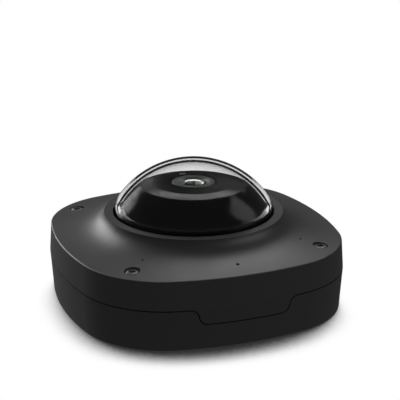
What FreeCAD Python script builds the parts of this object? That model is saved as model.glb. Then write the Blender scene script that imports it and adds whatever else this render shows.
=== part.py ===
import FreeCAD, Part
import math
import os

import Sketcher
from FreeCAD import Placement, Rotation, Vector

# Panoramic ceiling camera: a square tray and cover with bowed sides, a clear dome, and a fisheye lens inside.
# Millimetres, +Z up. The origin is at the centre of the tray's underside, and the front faces -Y.

doc = FreeCAD.newDocument("PanoramicCamera")

# Driving sizes, one cell each

SIZES = {
    # outline of tray and cover
    "half_width": 75.0,
    "corner_centre": 24.2,
    "side_angle": 12.5,
    "base_draft": 1.25,
    "cover_draft": 1.1,
    "parting_height": 21.5,
    "parting_gap": 0.6,
    "edge_height": 36.6,
    "edge_round": 0.5,
    "fit_gap": 0.3,
    "loose_gap": 0.9,
    # tab of the cover in the front wall
    "tab_drop": 8.2,
    "tab_half_width": 19.5,
    "tab_shoulder": 28.6,
    # concave roof and its collar
    "collar_corner": 0.1,
    "flare_sharpness": 2.9,
    "flare_power": 0.8,
    "skirt_wall": 2.2,
    "pocket_wall": 2.0,
    "pocket_depth": 1.0,
    "roof_edge_wall": 3.0,
    "lip_width": 4.6,
    "lip_thickness": 4.3,
    # dome, its gasket and clamp ring
    "dome_radius": 49.7,
    "dome_gap": 1.1,
    "dome_skirt_rise": 3.95,
    "dome_wall": 2.4,
    "dome_skirt_radius": 42.2,
    "dome_blend": 5.0,
    "flange_width": 4.4,
    "flange_thickness": 2.4,
    "gasket_thickness": 0.8,
    "gasket_inset": 0.6,
    "clamp_rise": 0.6,
    "clamp_thickness": 2.4,
    "clamp_inset": 0.4,
    "clamp_overhang": 5.4,
    "clamp_screw_radius": 1.0,
    "clamp_screw_length": 5.0,
    "clamp_head_radius": 1.8,
    "clamp_head_height": 1.2,
    "clamp_screw_count": 8,
    # captive cover screws
    "cover_screw_inset": 24.1,
    "cover_screw_radius": 2.0,
    "cover_screw_length": 22.0,
    "cover_head_radius": 3.7,
    "cover_head_height": 2.6,
    "cover_seat_depth": 2.9,
    "drive_radius": 1.7,
    "drive_depth": 1.6,
    "recess_radius": 4.0,
    "cover_post_radius": 6.0,
    "retainer_radius": 3.2,
    "retainer_thickness": 1.0,
    "running_gap": 0.06,
    # microphone and light holes
    "mic_offset": 7.7,
    "mic_hole_radius": 0.7,
    "mic_land_radius": 4.4,
    "light_inset": 12.5,
    "light_hole_radius": 0.9,
    "light_flange_radius": 2.2,
    "light_flange_thickness": 1.0,
    "light_land_radius": 3.0,
    "land_drop": 0.7,
    "land_sink": 0.8,
    # tray
    "floor_thickness": 3.0,
    "seal_land": 0.8,
    "seal_width": 1.6,
    "seal_depth": 2.0,
    "seal_inset": 0.2,
    "base_boss_radius": 5.2,
    "base_boss_floor": 8.0,
    "cable_inset": 29.0,
    "cable_hole_radius": 10.0,
    "cable_rim_radius": 13.0,
    "cable_rim_height": 2.0,
    "cable_radius": 3.0,
    "grommet_lip": 2.2,
    "grommet_wall": 1.6,
    "grommet_recess": 0.5,
    "grommet_sleeve_height": 4.8,
    "mount_inset": 17.0,
    "mount_y": 30.0,
    "mount_hole_radius": 2.25,
    "mount_boss_radius": 5.0,
    "mount_boss_height": 2.0,
    "rib_thickness": 2.0,
    "rib_height": 2.5,
    # pillars, bracket and its screws
    "pillar_radius": 3.6,
    "bracket_thickness": 2.5,
    "bracket_rim": 2.0,
    "bracket_rim_depth": 2.5,
    "arm_half_width": 5.0,
    "arm_margin": 0.5,
    "small_screw_radius": 1.45,
    "small_screw_length": 7.0,
    "small_head_radius": 2.7,
    "small_head_height": 1.8,
    "screw_end_gap": 1.0,
    # main board
    "board_inset": 4.9,
    "board_back_gap": 2.4,
    "board_thickness": 1.6,
    "board_post_height": 5.0,
    "board_post_radius": 3.2,
    "board_screw_inset": 4.0,
    "board_screw_front": 30.0,
    "chip_size": 19.0,
    "chip_height": 1.4,
    "chip_x": 4.0,
    "chip_y": -22.0,
    "pad_thickness": 0.6,
    "sink_length": 28.0,
    "sink_base": 2.0,
    "fin_height": 6.0,
    "fin_thickness": 1.2,
    "fin_count": 7,
    "jack_half_width": 8.0,
    "jack_depth": 21.0,
    "jack_height": 13.5,
    "jack_overhang": 1.0,
    "plug_half_width": 5.9,
    "plug_height": 6.8,
    "plug_depth": 13.0,
    "latch_half_width": 3.1,
    "latch_height": 2.6,
    "transformer_x": -33.0,
    "transformer_y": 6.0,
    "transformer_length": 18.0,
    "transformer_depth": 15.0,
    "transformer_height": 12.0,
    "transformer_base": 3.0,
    "transformer_step": 1.2,
    "capacitor_x": -38.0,
    "capacitor_y": -12.0,
    "capacitor_radius": 4.0,
    "capacitor_height": 11.0,
    "capacitor_pitch": 10.0,
    "capacitor_dimple_radius": 3.0,
    "capacitor_dimple_depth": 0.3,
    "memory_spacing": 7.5,
    "memory_length": 11.0,
    "memory_depth": 7.0,
    "memory_height": 1.0,
    "terminal_left": 11.5,
    "terminal_pitch": 3.5,
    "terminal_depth": 8.5,
    "terminal_height": 9.0,
    "terminal_screw_radius": 1.2,
    "terminal_well_depth": 2.0,
    "terminal_mouth": 2.4,
    "terminal_mouth_height": 1.2,
    "terminal_screw_row": 5.1,
    "terminal_poles": 4,
    "card_slot_y": -5.0,
    "card_slot_width": 14.0,
    "card_slot_depth": 15.0,
    "card_slot_height": 1.9,
    "card_slot_wall": 0.3,
    # camera module
    "sensor_board_half": 16.0,
    "sensor_post_place": 13.0,
    "sensor_post_radius": 2.3,
    "sensor_post_height": 2.5,
    "sensor_half_x": 7.0,
    "sensor_half_y": 6.0,
    "sensor_height": 1.6,
    "sensor_screw_radius": 1.0,
    "sensor_head_radius": 1.8,
    "sensor_head_height": 1.2,
    "holder_half": 10.0,
    "holder_cavity_height": 2.8,
    "holder_block_height": 4.4,
    "holder_tube_radius": 8.4,
    "thread_radius": 6.0,
    "filter_ledge": 0.5,
    "filter_thickness": 0.5,
    "lock_thickness": 2.0,
    "lock_radius": 9.0,
    "barrel_radius": 8.0,
    "barrel_front_radius": 10.6,
    "barrel_bore": 4.8,
    "barrel_step": 2.6,
    "barrel_neck": 3.7,
    "rear_glass_thickness": 1.6,
    "lock_notch_radius": 1.2,
    "lock_notch_count": 6,
    "lens_drop": 8.3,
    "lens_ring_radius": 11.4,
    "lens_ring_inner": 8.9,
    "lens_ring_height": 4.6,
    "lens_ring_inset": 1.3,
    "lens_ring_chamfer": 0.4,
    "glass_radius": 7.4,
    "glass_overlap": 0.5,
    "glass_depth": 2.0,
    "glass_crown": 2.6,
    # black inner cover under the dome
    "liner_ball_gap": 1.3,
    "liner_gap": 0.8,
    "liner_wall": 2.0,
    "seam_drop": 14.8,
    "seam_gap": 0.15,
    "cap_edge_drop": 9.75,
    "cap_bevel_radius": 22.0,
    "cap_bevel_drop": 8.8,
    "cap_drop": 8.5,
    "cap_hole": 12.0,
    "cap_wall": 1.6,
    "cap_lip_depth": 2.2,
    "ear_length": 6.0,
    "ear_half_width": 4.0,
    "ear_thickness": 2.0,
    "ear_screw_offset": 3.1,
    "ear_screw_radius": 1.0,
    "ear_head_radius": 1.8,
    # microphone board
    "mic_board_thickness": 1.0,
    "mic_board_gap": 0.4,
    "mic_board_width": 4.1,
    "mic_arm_half_width": 4.0,
    "mic_half": 1.8,
    "mic_height": 1.0,
    "led_half": 1.0,
    "led_height": 0.8,
    "boot_radius": 3.4,
    "boot_height": 3.7,
    # flat cables and their sockets
    "ribbon_thickness": 0.3,
    "ribbon_half_width": 6.0,
    "ribbon_bend": 2.0,
    "ribbon_x": -20.0,
    "socket_height": 3.0,
    "socket_wall": 1.2,
    "sensor_socket_height": 1.4,
    "sensor_socket_depth": 5.0,
    "mic_ribbon_offset": 3.2,
    "mic_ribbon_half_width": 2.5,
    # reset button
    "switch_half": 3.0,
    "switch_height": 3.5,
    "switch_x": 36.0,
    "switch_y": -20.0,
    "plunger_radius": 1.7,
    "plunger_height": 1.5,
    "plunger_inside": 0.6,
    "plunger_travel": 0.5,
}

sheet = doc.addObject("Spreadsheet::Sheet", "Sizes")
for row, (alias, number) in enumerate(SIZES.items(), start=1):
    sheet.set(f"A{row}", alias.replace("_", " "))
    sheet.set(f"B{row}", str(number))
    sheet.setAlias(f"B{row}", alias)
doc.recompute()


class Size:
    """A number together with the sheet formula that gives it."""

    def __init__(self, number, formula):
        self.number = float(number)
        self.formula = formula

    def joined(self, other, sign, number):
        return Size(number, f"({self.formula} {sign} {other.formula})")

    def __add__(self, other):
        other = as_size(other)
        return self.joined(other, "+", self.number + other.number)

    def __sub__(self, other):
        other = as_size(other)
        return self.joined(other, "-", self.number - other.number)

    def __mul__(self, other):
        other = as_size(other)
        return self.joined(other, "*", self.number * other.number)

    def __truediv__(self, other):
        other = as_size(other)
        return self.joined(other, "/", self.number / other.number)

    def __pow__(self, other):
        other = as_size(other)
        return self.joined(other, "^", self.number**other.number)

    def __radd__(self, other):
        return as_size(other) + self

    def __rsub__(self, other):
        return as_size(other) - self

    def __rmul__(self, other):
        return as_size(other) * self

    def __neg__(self):
        return Size(-self.number, f"(0 - {self.formula})")


def as_size(value):
    if isinstance(value, Size):
        return value
    return Size(value, f"{float(value)}")


def root(size):
    return Size(math.sqrt(size.number), f"sqrt({size.formula})")


def sine(size):
    return Size(math.sin(math.radians(size.number)), f"sin({size.formula})")


def cosine(size):
    return Size(math.cos(math.radians(size.number)), f"cos({size.formula})")


class Sheet:
    """The sheet's cells as Size values, each under its alias."""


s = Sheet()
for alias in SIZES:
    setattr(s, alias, Size(sheet.get(alias), f"Sizes.{alias}"))

# Levels and offsets that several pieces share

base_top = s.parting_height - s.parting_gap / 2
cover_bottom = s.parting_height + s.parting_gap / 2
tab_depth = s.skirt_wall + s.fit_gap
seal_outer = tab_depth + s.seal_land
seal_inner = seal_outer + s.seal_width
base_wall = seal_inner + s.seal_land

# Levels of the dome's seat, from the clamp ring up to the collar

clamp_height = s.edge_height + s.clamp_rise
clamp_top = clamp_height + s.clamp_thickness
flange_top = clamp_top + s.flange_thickness
gasket_top = flange_top + s.gasket_thickness
collar_height = gasket_top + s.lip_thickness
roof_inner_height = clamp_top - s.pocket_depth

# Radii about the dome, from its skirt outwards and inwards

inner_skirt = s.dome_skirt_radius - s.dome_wall
lip_radius = s.dome_skirt_radius + s.dome_gap
collar_radius = lip_radius + s.lip_width
flange_radius = s.dome_skirt_radius + s.flange_width
clamp_outer_radius = flange_radius + s.clamp_overhang
clamp_screw_circle = (flange_radius + clamp_outer_radius) / 2 + s.fit_gap
roof_inner_radius = clamp_outer_radius + s.pocket_wall
liner_radius = inner_skirt - s.liner_gap
ear_reach = liner_radius + s.ear_length
mic_board_inner = ear_reach + s.mic_board_gap
bracket_radius = mic_board_inner + s.mic_board_width

# The ball of the dome and, inside it, the ball of the liner

dome_rise = root(s.dome_radius * s.dome_radius - s.dome_skirt_radius * s.dome_skirt_radius)
dome_centre = collar_height + s.dome_skirt_rise - dome_rise
inner_sphere = s.dome_radius - s.dome_wall
liner_sphere = inner_sphere - s.liner_ball_gap
liner_top = dome_centre + liner_sphere
liner_seam = liner_top - s.seam_drop

# Places on the plan

cover_screw_place = s.half_width - s.cover_screw_inset
mic_place = cover_screw_place - s.mic_offset
light_place = s.half_width - s.light_inset
cable_place = s.half_width - s.cable_inset
pillar_place = (mic_board_inner - s.small_head_radius - s.fit_gap) / math.sqrt(2)
board_half = cover_screw_place - s.board_inset
board_back = pillar_place - s.pillar_radius - s.board_back_gap
board_screw_x = board_half - s.board_screw_inset
board_screw_back = board_back - s.board_screw_inset
mic_arm_reach = mic_place * math.sqrt(2) + s.boot_radius + s.arm_margin
light_arm_reach = light_place + s.led_half + s.arm_margin

# Inside of the roof, and the lands under its holes


def diagonal_reach(half_width, corner):
    """How far a section reaches along its diagonal."""
    angle = s.side_angle
    return half_width - corner / sine(angle) * (1 - cosine(angle) + sine(angle)) + corner * math.sqrt(2)


edge_half_width = s.half_width - s.cover_draft
roof_edge_inside = s.edge_height - s.roof_edge_wall
roof_fall = roof_inner_height - roof_edge_inside
roof_reach = diagonal_reach(edge_half_width - s.skirt_wall, s.corner_centre)
mic_share = (mic_place * math.sqrt(2) - roof_inner_radius) / (roof_reach - roof_inner_radius)
light_share = (light_place - roof_inner_radius) / (edge_half_width - s.skirt_wall - roof_inner_radius)
mic_land = roof_inner_height - roof_fall * mic_share - s.land_drop
light_land = roof_inner_height - roof_fall * light_share - s.land_drop

# Levels of the boards and the camera module

board_bottom = s.floor_thickness + s.board_post_height
board_top = board_bottom + s.board_thickness
chip_top = board_top + s.chip_height
sink_bottom = chip_top + s.pad_thickness
boot_top = mic_land - s.fit_gap
mic_board_top = boot_top - s.boot_height
bracket_top = mic_board_top - s.mic_board_thickness
bracket_bottom = bracket_top - s.bracket_thickness
sensor_board_bottom = bracket_top + s.sensor_post_height
sensor_board_top = sensor_board_bottom + s.board_thickness
filter_bottom = sensor_board_top + s.holder_cavity_height + s.filter_ledge
barrel_bottom = filter_bottom + s.filter_thickness + s.fit_gap
lens_top = liner_top - s.lens_drop
ring_bottom = lens_top - s.lens_ring_height
lock_top = ring_bottom - 2 * s.barrel_step - s.barrel_neck
holder_top = lock_top - s.lock_thickness


# Document helpers


def new_body(label):
    body = doc.addObject("PartDesign::Body", label)
    body.Label = label
    body.AllowCompound = True
    return body


def origin_feature(body, role):
    return next(item for item in body.Origin.OriginFeatures if item.Role == role)


def bind(item, path, size):
    item.setExpression(path, size.formula)


def flat_sketch(body, height, turn=0.0):
    """A sketch square to Z at a height, turned about Z by some degrees."""
    sketch = body.newObject("Sketcher::SketchObject", f"{body.Label}_plan")
    sketch.AttachmentSupport = [(origin_feature(body, "XY_Plane"), "")]
    sketch.MapMode = "FlatFace"
    height = as_size(height)
    sketch.AttachmentOffset = Placement(Vector(0, 0, height.number), Rotation(Vector(0, 0, 1), turn))
    bind(sketch, "AttachmentOffset.Base.z", height)
    return sketch


def front_sketch(body, x=0.0, y=0.0):
    """A sketch in the XZ plane, whose origin stands at x, y."""
    sketch = body.newObject("Sketcher::SketchObject", f"{body.Label}_profile")
    sketch.AttachmentSupport = [(origin_feature(body, "XZ_Plane"), "")]
    sketch.MapMode = "FlatFace"
    x = as_size(x)
    y = as_size(y)
    sketch.AttachmentOffset = Placement(Vector(x.number, 0, -y.number), Rotation())
    bind(sketch, "AttachmentOffset.Base.x", x)
    bind(sketch, "AttachmentOffset.Base.z", -y)
    return sketch


def measure(sketch, kind, size, *places):
    index = sketch.addConstraint(Sketcher.Constraint(kind, *places, size.number))
    bind(sketch, f"Constraints[{index}]", size)


def pin_across(sketch, geometry, point, across):
    """Hold a point at a distance from the sketch's upright axis, or on it."""
    if across.number == 0.0:
        sketch.addConstraint(Sketcher.Constraint("PointOnObject", geometry, point, -2))
    else:
        measure(sketch, "DistanceX", across, -1, 1, geometry, point)


def pin_up(sketch, geometry, point, up):
    if up.number == 0.0:
        sketch.addConstraint(Sketcher.Constraint("PointOnObject", geometry, point, -1))
    else:
        measure(sketch, "DistanceY", up, -1, 1, geometry, point)


def circle(sketch, x, y, radius):
    x, y, radius = as_size(x), as_size(y), as_size(radius)
    shape = Part.Circle(Vector(x.number, y.number, 0), Vector(0, 0, 1), radius.number)
    index = sketch.addGeometry(shape, False)
    pin_across(sketch, index, 3, x)
    pin_up(sketch, index, 3, y)
    measure(sketch, "Radius", radius, index)


def arc_through(start, end, centre, turn):
    """The arc from start to end about a centre, turning left for turn 1 and right for turn -1."""
    radius = start.distanceToPoint(centre)
    first = math.atan2(start.y - centre.y, start.x - centre.x)
    last = math.atan2(end.y - centre.y, end.x - centre.x)
    full = Part.Circle(centre, Vector(0, 0, 1), radius)
    if turn > 0:
        return Part.ArcOfCircle(full, first, last)
    return Part.ArcOfCircle(full, last, first)


def outline(sketch, corners, arcs=None):
    """A closed outline. Each corner is held at its place; arcs maps a corner to its arc's centre and turn."""
    arcs = arcs or {}
    corners = [(as_size(x), as_size(y)) for x, y in corners]
    points = [Vector(x.number, y.number, 0) for x, y in corners]
    ends = []
    for i, point in enumerate(points):
        after = points[(i + 1) % len(points)]
        if i in arcs:
            centre_x, centre_y, turn = arcs[i]
            centre = Vector(as_size(centre_x).number, as_size(centre_y).number, 0)
            index = sketch.addGeometry(arc_through(point, after, centre, turn), False)
            ends.append((index, 1, 2) if turn > 0 else (index, 2, 1))
            pin_across(sketch, index, 3, as_size(centre_x))
        else:
            index = sketch.addGeometry(Part.LineSegment(point, after), False)
            ends.append((index, 1, 2))
    for i, (index, start, end) in enumerate(ends):
        following = ends[(i + 1) % len(ends)]
        sketch.addConstraint(Sketcher.Constraint("Coincident", index, end, following[0], following[1]))
        pin_across(sketch, index, start, corners[i][0])
        pin_up(sketch, index, start, corners[i][1])


def rectangle(sketch, left, bottom, right, top):
    outline(sketch, [(left, bottom), (right, bottom), (right, top), (left, top)])


def squircle(sketch, half_width, corner):
    """Four shallow side arcs and four corner arcs, which meet tangent at the same angle in every section."""
    angle = s.side_angle
    difference = corner / sine(angle)
    corner_radius = half_width - difference * (1 - cosine(angle) + sine(angle))
    side_radius = corner_radius + difference
    reach = math.radians(angle.number)
    arcs = []
    for quarter in range(4):
        turn = quarter * math.pi / 2
        inward = half_width.number - side_radius.number
        middle = Vector(inward * math.cos(turn), inward * math.sin(turn), 0)
        side = Part.Circle(middle, Vector(0, 0, 1), side_radius.number)
        arcs.append(Part.ArcOfCircle(side, turn - reach, turn + reach))
        diagonal = corner.number * math.sqrt(2)
        middle = Vector(diagonal * math.cos(turn + math.pi / 4), diagonal * math.sin(turn + math.pi / 4), 0)
        round_corner = Part.Circle(middle, Vector(0, 0, 1), corner_radius.number)
        arcs.append(Part.ArcOfCircle(round_corner, turn + reach, turn + math.pi / 2 - reach))
    first = sketch.GeometryCount
    for arc in arcs:
        sketch.addGeometry(arc, False)
    for i in range(8):
        following = first + (i + 1) % 8
        sketch.addConstraint(Sketcher.Constraint("Tangent", first + i, 2, following, 1))
    for quarter, (sign_x, sign_y) in enumerate([(1, 1), (-1, 1), (-1, -1), (1, -1)]):
        index = first + 2 * quarter + 1
        measure(sketch, "DistanceX", corner * sign_x, -1, 1, index, 3)
        measure(sketch, "DistanceY", corner * sign_y, -1, 1, index, 3)
        if quarter:
            sketch.addConstraint(Sketcher.Constraint("Equal", first, index - 1))
            sketch.addConstraint(Sketcher.Constraint("Equal", first + 1, index))
    measure(sketch, "Radius", side_radius, first)
    measure(sketch, "Radius", corner_radius, first + 1)


def corners_of_square(place):
    return [(place, place), (-place, place), (-place, -place), (place, -place)]


def circles_at(sketch, places, radius):
    for x, y in places:
        circle(sketch, x, y, radius)


def pad(body, sketch, length):
    feature = body.newObject("PartDesign::Pad", f"{body.Label}_pad")
    feature.Profile = (sketch, [""])
    feature.Length = as_size(length).number
    bind(feature, "Length", as_size(length))
    return feature


def pocket(body, sketch, length, forward=False):
    """A cut behind the sketch, or forward along its normal: +Z of a plan sketch, -Y of a front sketch."""
    feature = body.newObject("PartDesign::Pocket", f"{body.Label}_pocket")
    feature.Profile = (sketch, [""])
    feature.Length = as_size(length).number
    feature.Reversed = forward
    bind(feature, "Length", as_size(length))
    return feature


def turned(body, corners, arcs=None, x=0.0, y=0.0):
    """A revolved piece: its half section, as distances from the axis and heights."""
    sketch = front_sketch(body, x, y)
    outline(sketch, corners, arcs)
    feature = body.newObject("PartDesign::Revolution", f"{body.Label}_turned")
    feature.Profile = (sketch, [""])
    feature.ReferenceAxis = (sketch, ["V_Axis"])
    feature.Angle = 360.0
    return feature


def loft(body, sections, cut=False, ruled=False):
    """A loft through squircle sections, each a height, a half width and a corner centre."""
    sketches = []
    for height, half_width, corner in sections:
        sketch = flat_sketch(body, height)
        squircle(sketch, as_size(half_width), as_size(corner))
        sketches.append(sketch)
    kind = "PartDesign::SubtractiveLoft" if cut else "PartDesign::AdditiveLoft"
    feature = body.newObject(kind, f"{body.Label}_loft")
    feature.Profile = (sketches[0], [""])
    feature.Sections = [(sketch, [""]) for sketch in sketches[1:]]
    feature.Ruled = ruled
    return feature


def around(body, features, count=4):
    """Repeat features about the Z axis."""
    pattern = body.newObject("PartDesign::PolarPattern", f"{body.Label}_pattern")
    pattern.Originals = features
    pattern.Axis = (origin_feature(body, "Z_Axis"), [""])
    pattern.Angle = 360.0
    pattern.Occurrences = int(count)
    body.Tip = pattern
    return pattern


def washer(body, x, y, bottom, inner, outer, thickness):
    sketch = flat_sketch(body, bottom)
    circle(sketch, x, y, outer)
    circle(sketch, x, y, inner)
    return pad(body, sketch, thickness)


def disc(body, places, bottom, radius, thickness):
    sketch = flat_sketch(body, bottom)
    circles_at(sketch, places, radius)
    return pad(body, sketch, thickness)


def holes(body, places, top, radius, depth):
    sketch = flat_sketch(body, top)
    circles_at(sketch, places, radius)
    return pocket(body, sketch, depth)


def block(body, left, front, right, back, bottom, height):
    sketch = flat_sketch(body, bottom)
    rectangle(sketch, left, front, right, back)
    return pad(body, sketch, height)


def screws(label, places, seat, shank_radius, shank_length, head_radius, head_height):
    """Pan-head screws that stand on a seat, all in one node."""
    body = new_body(label)
    disc(body, places, seat, head_radius, head_height)
    disc(body, places, seat - shank_length, shank_radius, shank_length)
    return body


def edges_where(feature, test):
    """Names of a feature's edges whose middle point passes the test."""
    doc.recompute()
    names = []
    for number, edge in enumerate(feature.Shape.Edges, start=1):
        middle = edge.valueAt((edge.FirstParameter + edge.LastParameter) / 2)
        if test(middle):
            names.append(f"Edge{number}")
    return names


def round_edges(body, feature, test, radius):
    fillet = body.newObject("PartDesign::Fillet", f"{body.Label}_round")
    fillet.Base = (feature, edges_where(feature, test))
    fillet.Radius = radius.number
    bind(fillet, "Radius", radius)
    return fillet


def close_to(value, target, slack=0.05):
    return abs(value - target) < slack


def radius_of(point):
    return math.hypot(point.x, point.y)


# Shape of the concave roof: it falls from the collar to the edge, and its corners grow square on the way

ROOF_STATIONS = 6
CROWDING_AT_COLLAR = 1.6
EDGE_TURNS = (0, 30, 60)


def roof_section(share):
    """The roof's section a share of the way from the collar, 0, to the edge, 1."""
    corner = s.collar_corner + (s.corner_centre - s.collar_corner) * share
    half_width = collar_radius + (edge_half_width - collar_radius) * share
    drop = (1 - as_size(share)) / (1 + s.flare_sharpness * as_size(share) ** s.flare_power)
    height = s.edge_height + (collar_height - s.edge_height) * drop
    return height, half_width, corner


def parting_curve(level, arc_change):
    """The parting line from right shoulder to left: down into the tab by an S of two arcs, and back."""
    run = s.tab_shoulder - s.tab_half_width
    arc_radius = (run * run + s.tab_drop * s.tab_drop) / (4 * s.tab_drop)
    foot = level - s.tab_drop
    upper = arc_radius + arc_change
    lower = arc_radius - arc_change
    upper_y = level - upper
    lower_y = foot + lower
    share = upper / (upper + lower)
    middle_x = s.tab_shoulder - run * share
    middle_y = upper_y + (lower_y - upper_y) * share
    corners = [
        (s.tab_shoulder, level),
        (middle_x, middle_y),
        (s.tab_half_width, foot),
        (-s.tab_half_width, foot),
        (-middle_x, middle_y),
        (-s.tab_shoulder, level),
    ]
    arcs = {
        0: (s.tab_shoulder, upper_y, 1),
        1: (s.tab_half_width, lower_y, -1),
        3: (-s.tab_half_width, lower_y, -1),
        4: (-s.tab_shoulder, upper_y, 1),
    }
    return corners, arcs


def tray_width(height):
    """Half width of the tray's outside at a height, which the cover's tab follows."""
    return s.half_width - s.base_draft * (1 - height / base_top)


# Cover

cover_places = corners_of_square(cover_screw_place)
mic_places = corners_of_square(mic_place)
light_places = [(0.0, -light_place)]
past_outline = s.half_width * 1.2
cover_post_top = s.edge_height - s.fit_gap
seal_wall_top = roof_edge_inside + s.land_sink

cover = new_body("top_cover")
tab_level = s.parting_height - s.tab_drop
roof_end = 1 - s.edge_round / (edge_half_width - collar_radius)
skirt = [
    (tab_level, tray_width(tab_level), s.corner_centre),
    (cover_bottom, s.half_width, s.corner_centre),
]
for turn in EDGE_TURNS:
    rise = s.edge_round * math.sin(math.radians(turn))
    inset = s.edge_round * (1 - math.cos(math.radians(turn)))
    skirt.append((s.edge_height - s.edge_round + rise, edge_half_width - inset, s.corner_centre))
loft(cover, skirt + [roof_section(roof_end)], ruled=True)
shares = [(i / ROOF_STATIONS) ** CROWDING_AT_COLLAR for i in range(ROOF_STATIONS, -1, -1)]
loft(cover, [roof_section(roof_end * share) for share in shares])

curve, curve_arcs = parting_curve(cover_bottom, s.parting_gap / 2)
front_cut = front_sketch(cover)
below_cover = [
    (-past_outline, cover_bottom),
    (-past_outline, 0.0),
    (past_outline, 0.0),
    (past_outline, cover_bottom),
]
outline(front_cut, curve + below_cover, curve_arcs)
pocket(cover, front_cut, past_outline, forward=True)
back_cut = front_sketch(cover)
rectangle(back_cut, -past_outline, 0.0, past_outline, cover_bottom)
pocket(cover, back_cut, past_outline)

loft(
    cover,
    [
        (tab_level - s.parting_gap, tray_width(tab_level) - s.skirt_wall, s.corner_centre),
        (cover_bottom, s.half_width - s.skirt_wall, s.corner_centre),
        (roof_edge_inside, edge_half_width - s.skirt_wall, s.corner_centre),
        (roof_inner_height, roof_inner_radius, s.collar_corner),
    ],
    cut=True,
    ruled=True,
)

seal_wall = flat_sketch(cover, cover_bottom)
squircle(seal_wall, s.half_width - seal_outer - s.seal_inset, s.corner_centre)
squircle(seal_wall, s.half_width - seal_inner + s.seal_inset, s.corner_centre)
pad(cover, seal_wall, seal_wall_top - cover_bottom)
disc(cover, cover_places, cover_bottom, s.cover_post_radius, cover_post_top - cover_bottom)

land_thickness = s.land_drop + s.land_sink
disc(cover, mic_places, mic_land, s.mic_land_radius, land_thickness)
disc(cover, light_places, light_land, s.light_land_radius, land_thickness)

above_collar = collar_height + s.roof_edge_wall
throat = front_sketch(cover)
outline(
    throat,
    [
        (0.0, cover_bottom),
        (clamp_outer_radius + s.fit_gap, cover_bottom),
        (clamp_outer_radius + s.fit_gap, clamp_top),
        (flange_radius + s.fit_gap, clamp_top),
        (flange_radius + s.fit_gap, gasket_top),
        (lip_radius, gasket_top),
        (lip_radius, above_collar),
        (0.0, above_collar),
    ],
)
groove = cover.newObject("PartDesign::Groove", "top_cover_throat")
groove.Profile = (throat, [""])
groove.ReferenceAxis = (throat, ["V_Axis"])
groove.Angle = 360.0

clear_radius = s.cover_screw_radius + s.fit_gap
cover_seat = s.edge_height - s.cover_seat_depth
holes(cover, cover_places, collar_height, s.recess_radius, collar_height - cover_seat)
holes(cover, cover_places, cover_seat, clear_radius, cover_seat - cover_bottom)
retainer_bore = flat_sketch(cover, cover_bottom)
circles_at(retainer_bore, cover_places, s.retainer_radius + s.running_gap)
pocket(cover, retainer_bore, s.retainer_thickness + s.fit_gap, forward=True)
holes(cover, mic_places, collar_height, s.mic_hole_radius, collar_height - mic_land)
holes(cover, light_places, collar_height, s.light_hole_radius, collar_height - light_land)
bore = flat_sketch(cover, clamp_top)
circle(bore, clamp_screw_circle, 0.0, s.clamp_screw_radius + s.running_gap)
bore_cut = pocket(cover, bore, s.clamp_screw_length - s.clamp_thickness + s.fit_gap, forward=True)
around(cover, [bore_cut], s.clamp_screw_count.number)

# Dome, gasket and the ring that clamps them

dome = new_body("dome")
inner_rise = root(inner_sphere * inner_sphere - inner_skirt * inner_skirt)
blend_top = dome_centre + dome_rise
bubble = turned(
    dome,
    [
        (0.0, dome_centre + inner_sphere),
        (inner_skirt, dome_centre + inner_rise),
        (inner_skirt, clamp_top),
        (flange_radius, clamp_top),
        (flange_radius, flange_top),
        (s.dome_skirt_radius, flange_top),
        (s.dome_skirt_radius, blend_top),
        (0.0, dome_centre + s.dome_radius),
    ],
    {
        0: (0.0, dome_centre, -1),
        6: (0.0, dome_centre, 1),
    },
)
inner_kink = (inner_skirt.number, (dome_centre + inner_rise).number)
outer_kink = (s.dome_skirt_radius.number, blend_top.number)
round_edges(
    dome,
    bubble,
    lambda p: any(close_to(radius_of(p), r) and close_to(p.z, z) for r, z in (inner_kink, outer_kink)),
    s.dome_blend,
)

gasket = new_body("dome_gasket")
washer(gasket, 0.0, 0.0, flange_top, lip_radius + s.gasket_inset, flange_radius, s.gasket_thickness)

clamp = new_body("dome_clamp_ring")
ring = flat_sketch(clamp, clamp_height)
circle(ring, 0.0, 0.0, clamp_outer_radius)
circle(ring, 0.0, 0.0, inner_skirt + s.clamp_inset)
pad(clamp, ring, s.clamp_thickness)
bore = flat_sketch(clamp, clamp_top)
circle(bore, clamp_screw_circle, 0.0, s.clamp_screw_radius + s.running_gap)
around(clamp, [pocket(clamp, bore, s.clamp_thickness)], s.clamp_screw_count.number)

clamp_screws = new_body("clamp_screws")
clamp_place = [(clamp_screw_circle, 0.0)]
head_bottom = clamp_height - s.clamp_head_height
head = disc(clamp_screws, clamp_place, head_bottom, s.clamp_head_radius, s.clamp_head_height)
shank = disc(clamp_screws, clamp_place, clamp_height, s.clamp_screw_radius, s.clamp_screw_length)
around(clamp_screws, [head, shank], s.clamp_screw_count.number)

# Captive cover screws and the washers that keep them in the cover

cover_screws = screws(
    "cover_screws",
    cover_places,
    cover_seat,
    s.cover_screw_radius,
    s.cover_screw_length,
    s.cover_head_radius,
    s.cover_head_height,
)
drive = flat_sketch(cover_screws, cover_seat + s.cover_head_height)
circles_at(drive, cover_places, s.drive_radius)
pocket(cover_screws, drive, s.drive_depth)

retainers = new_body("screw_retainers")
collar = flat_sketch(retainers, cover_bottom + s.fit_gap)
circles_at(collar, cover_places, s.retainer_radius)
circles_at(collar, cover_places, s.cover_screw_radius + s.running_gap)
pad(retainers, collar, s.retainer_thickness)

# Light pipe behind the front pinhole

pipe = new_body("light_pipe")
roof_level = roof_section((light_place - collar_radius) / (edge_half_width - collar_radius))[0]
tip_length = roof_level - s.fit_gap - light_land
flange_bottom = light_land - s.light_flange_thickness
disc(pipe, light_places, flange_bottom, s.light_flange_radius, s.light_flange_thickness)
disc(pipe, light_places, light_land, s.light_hole_radius - s.running_gap, tip_length)

# Tray

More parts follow.
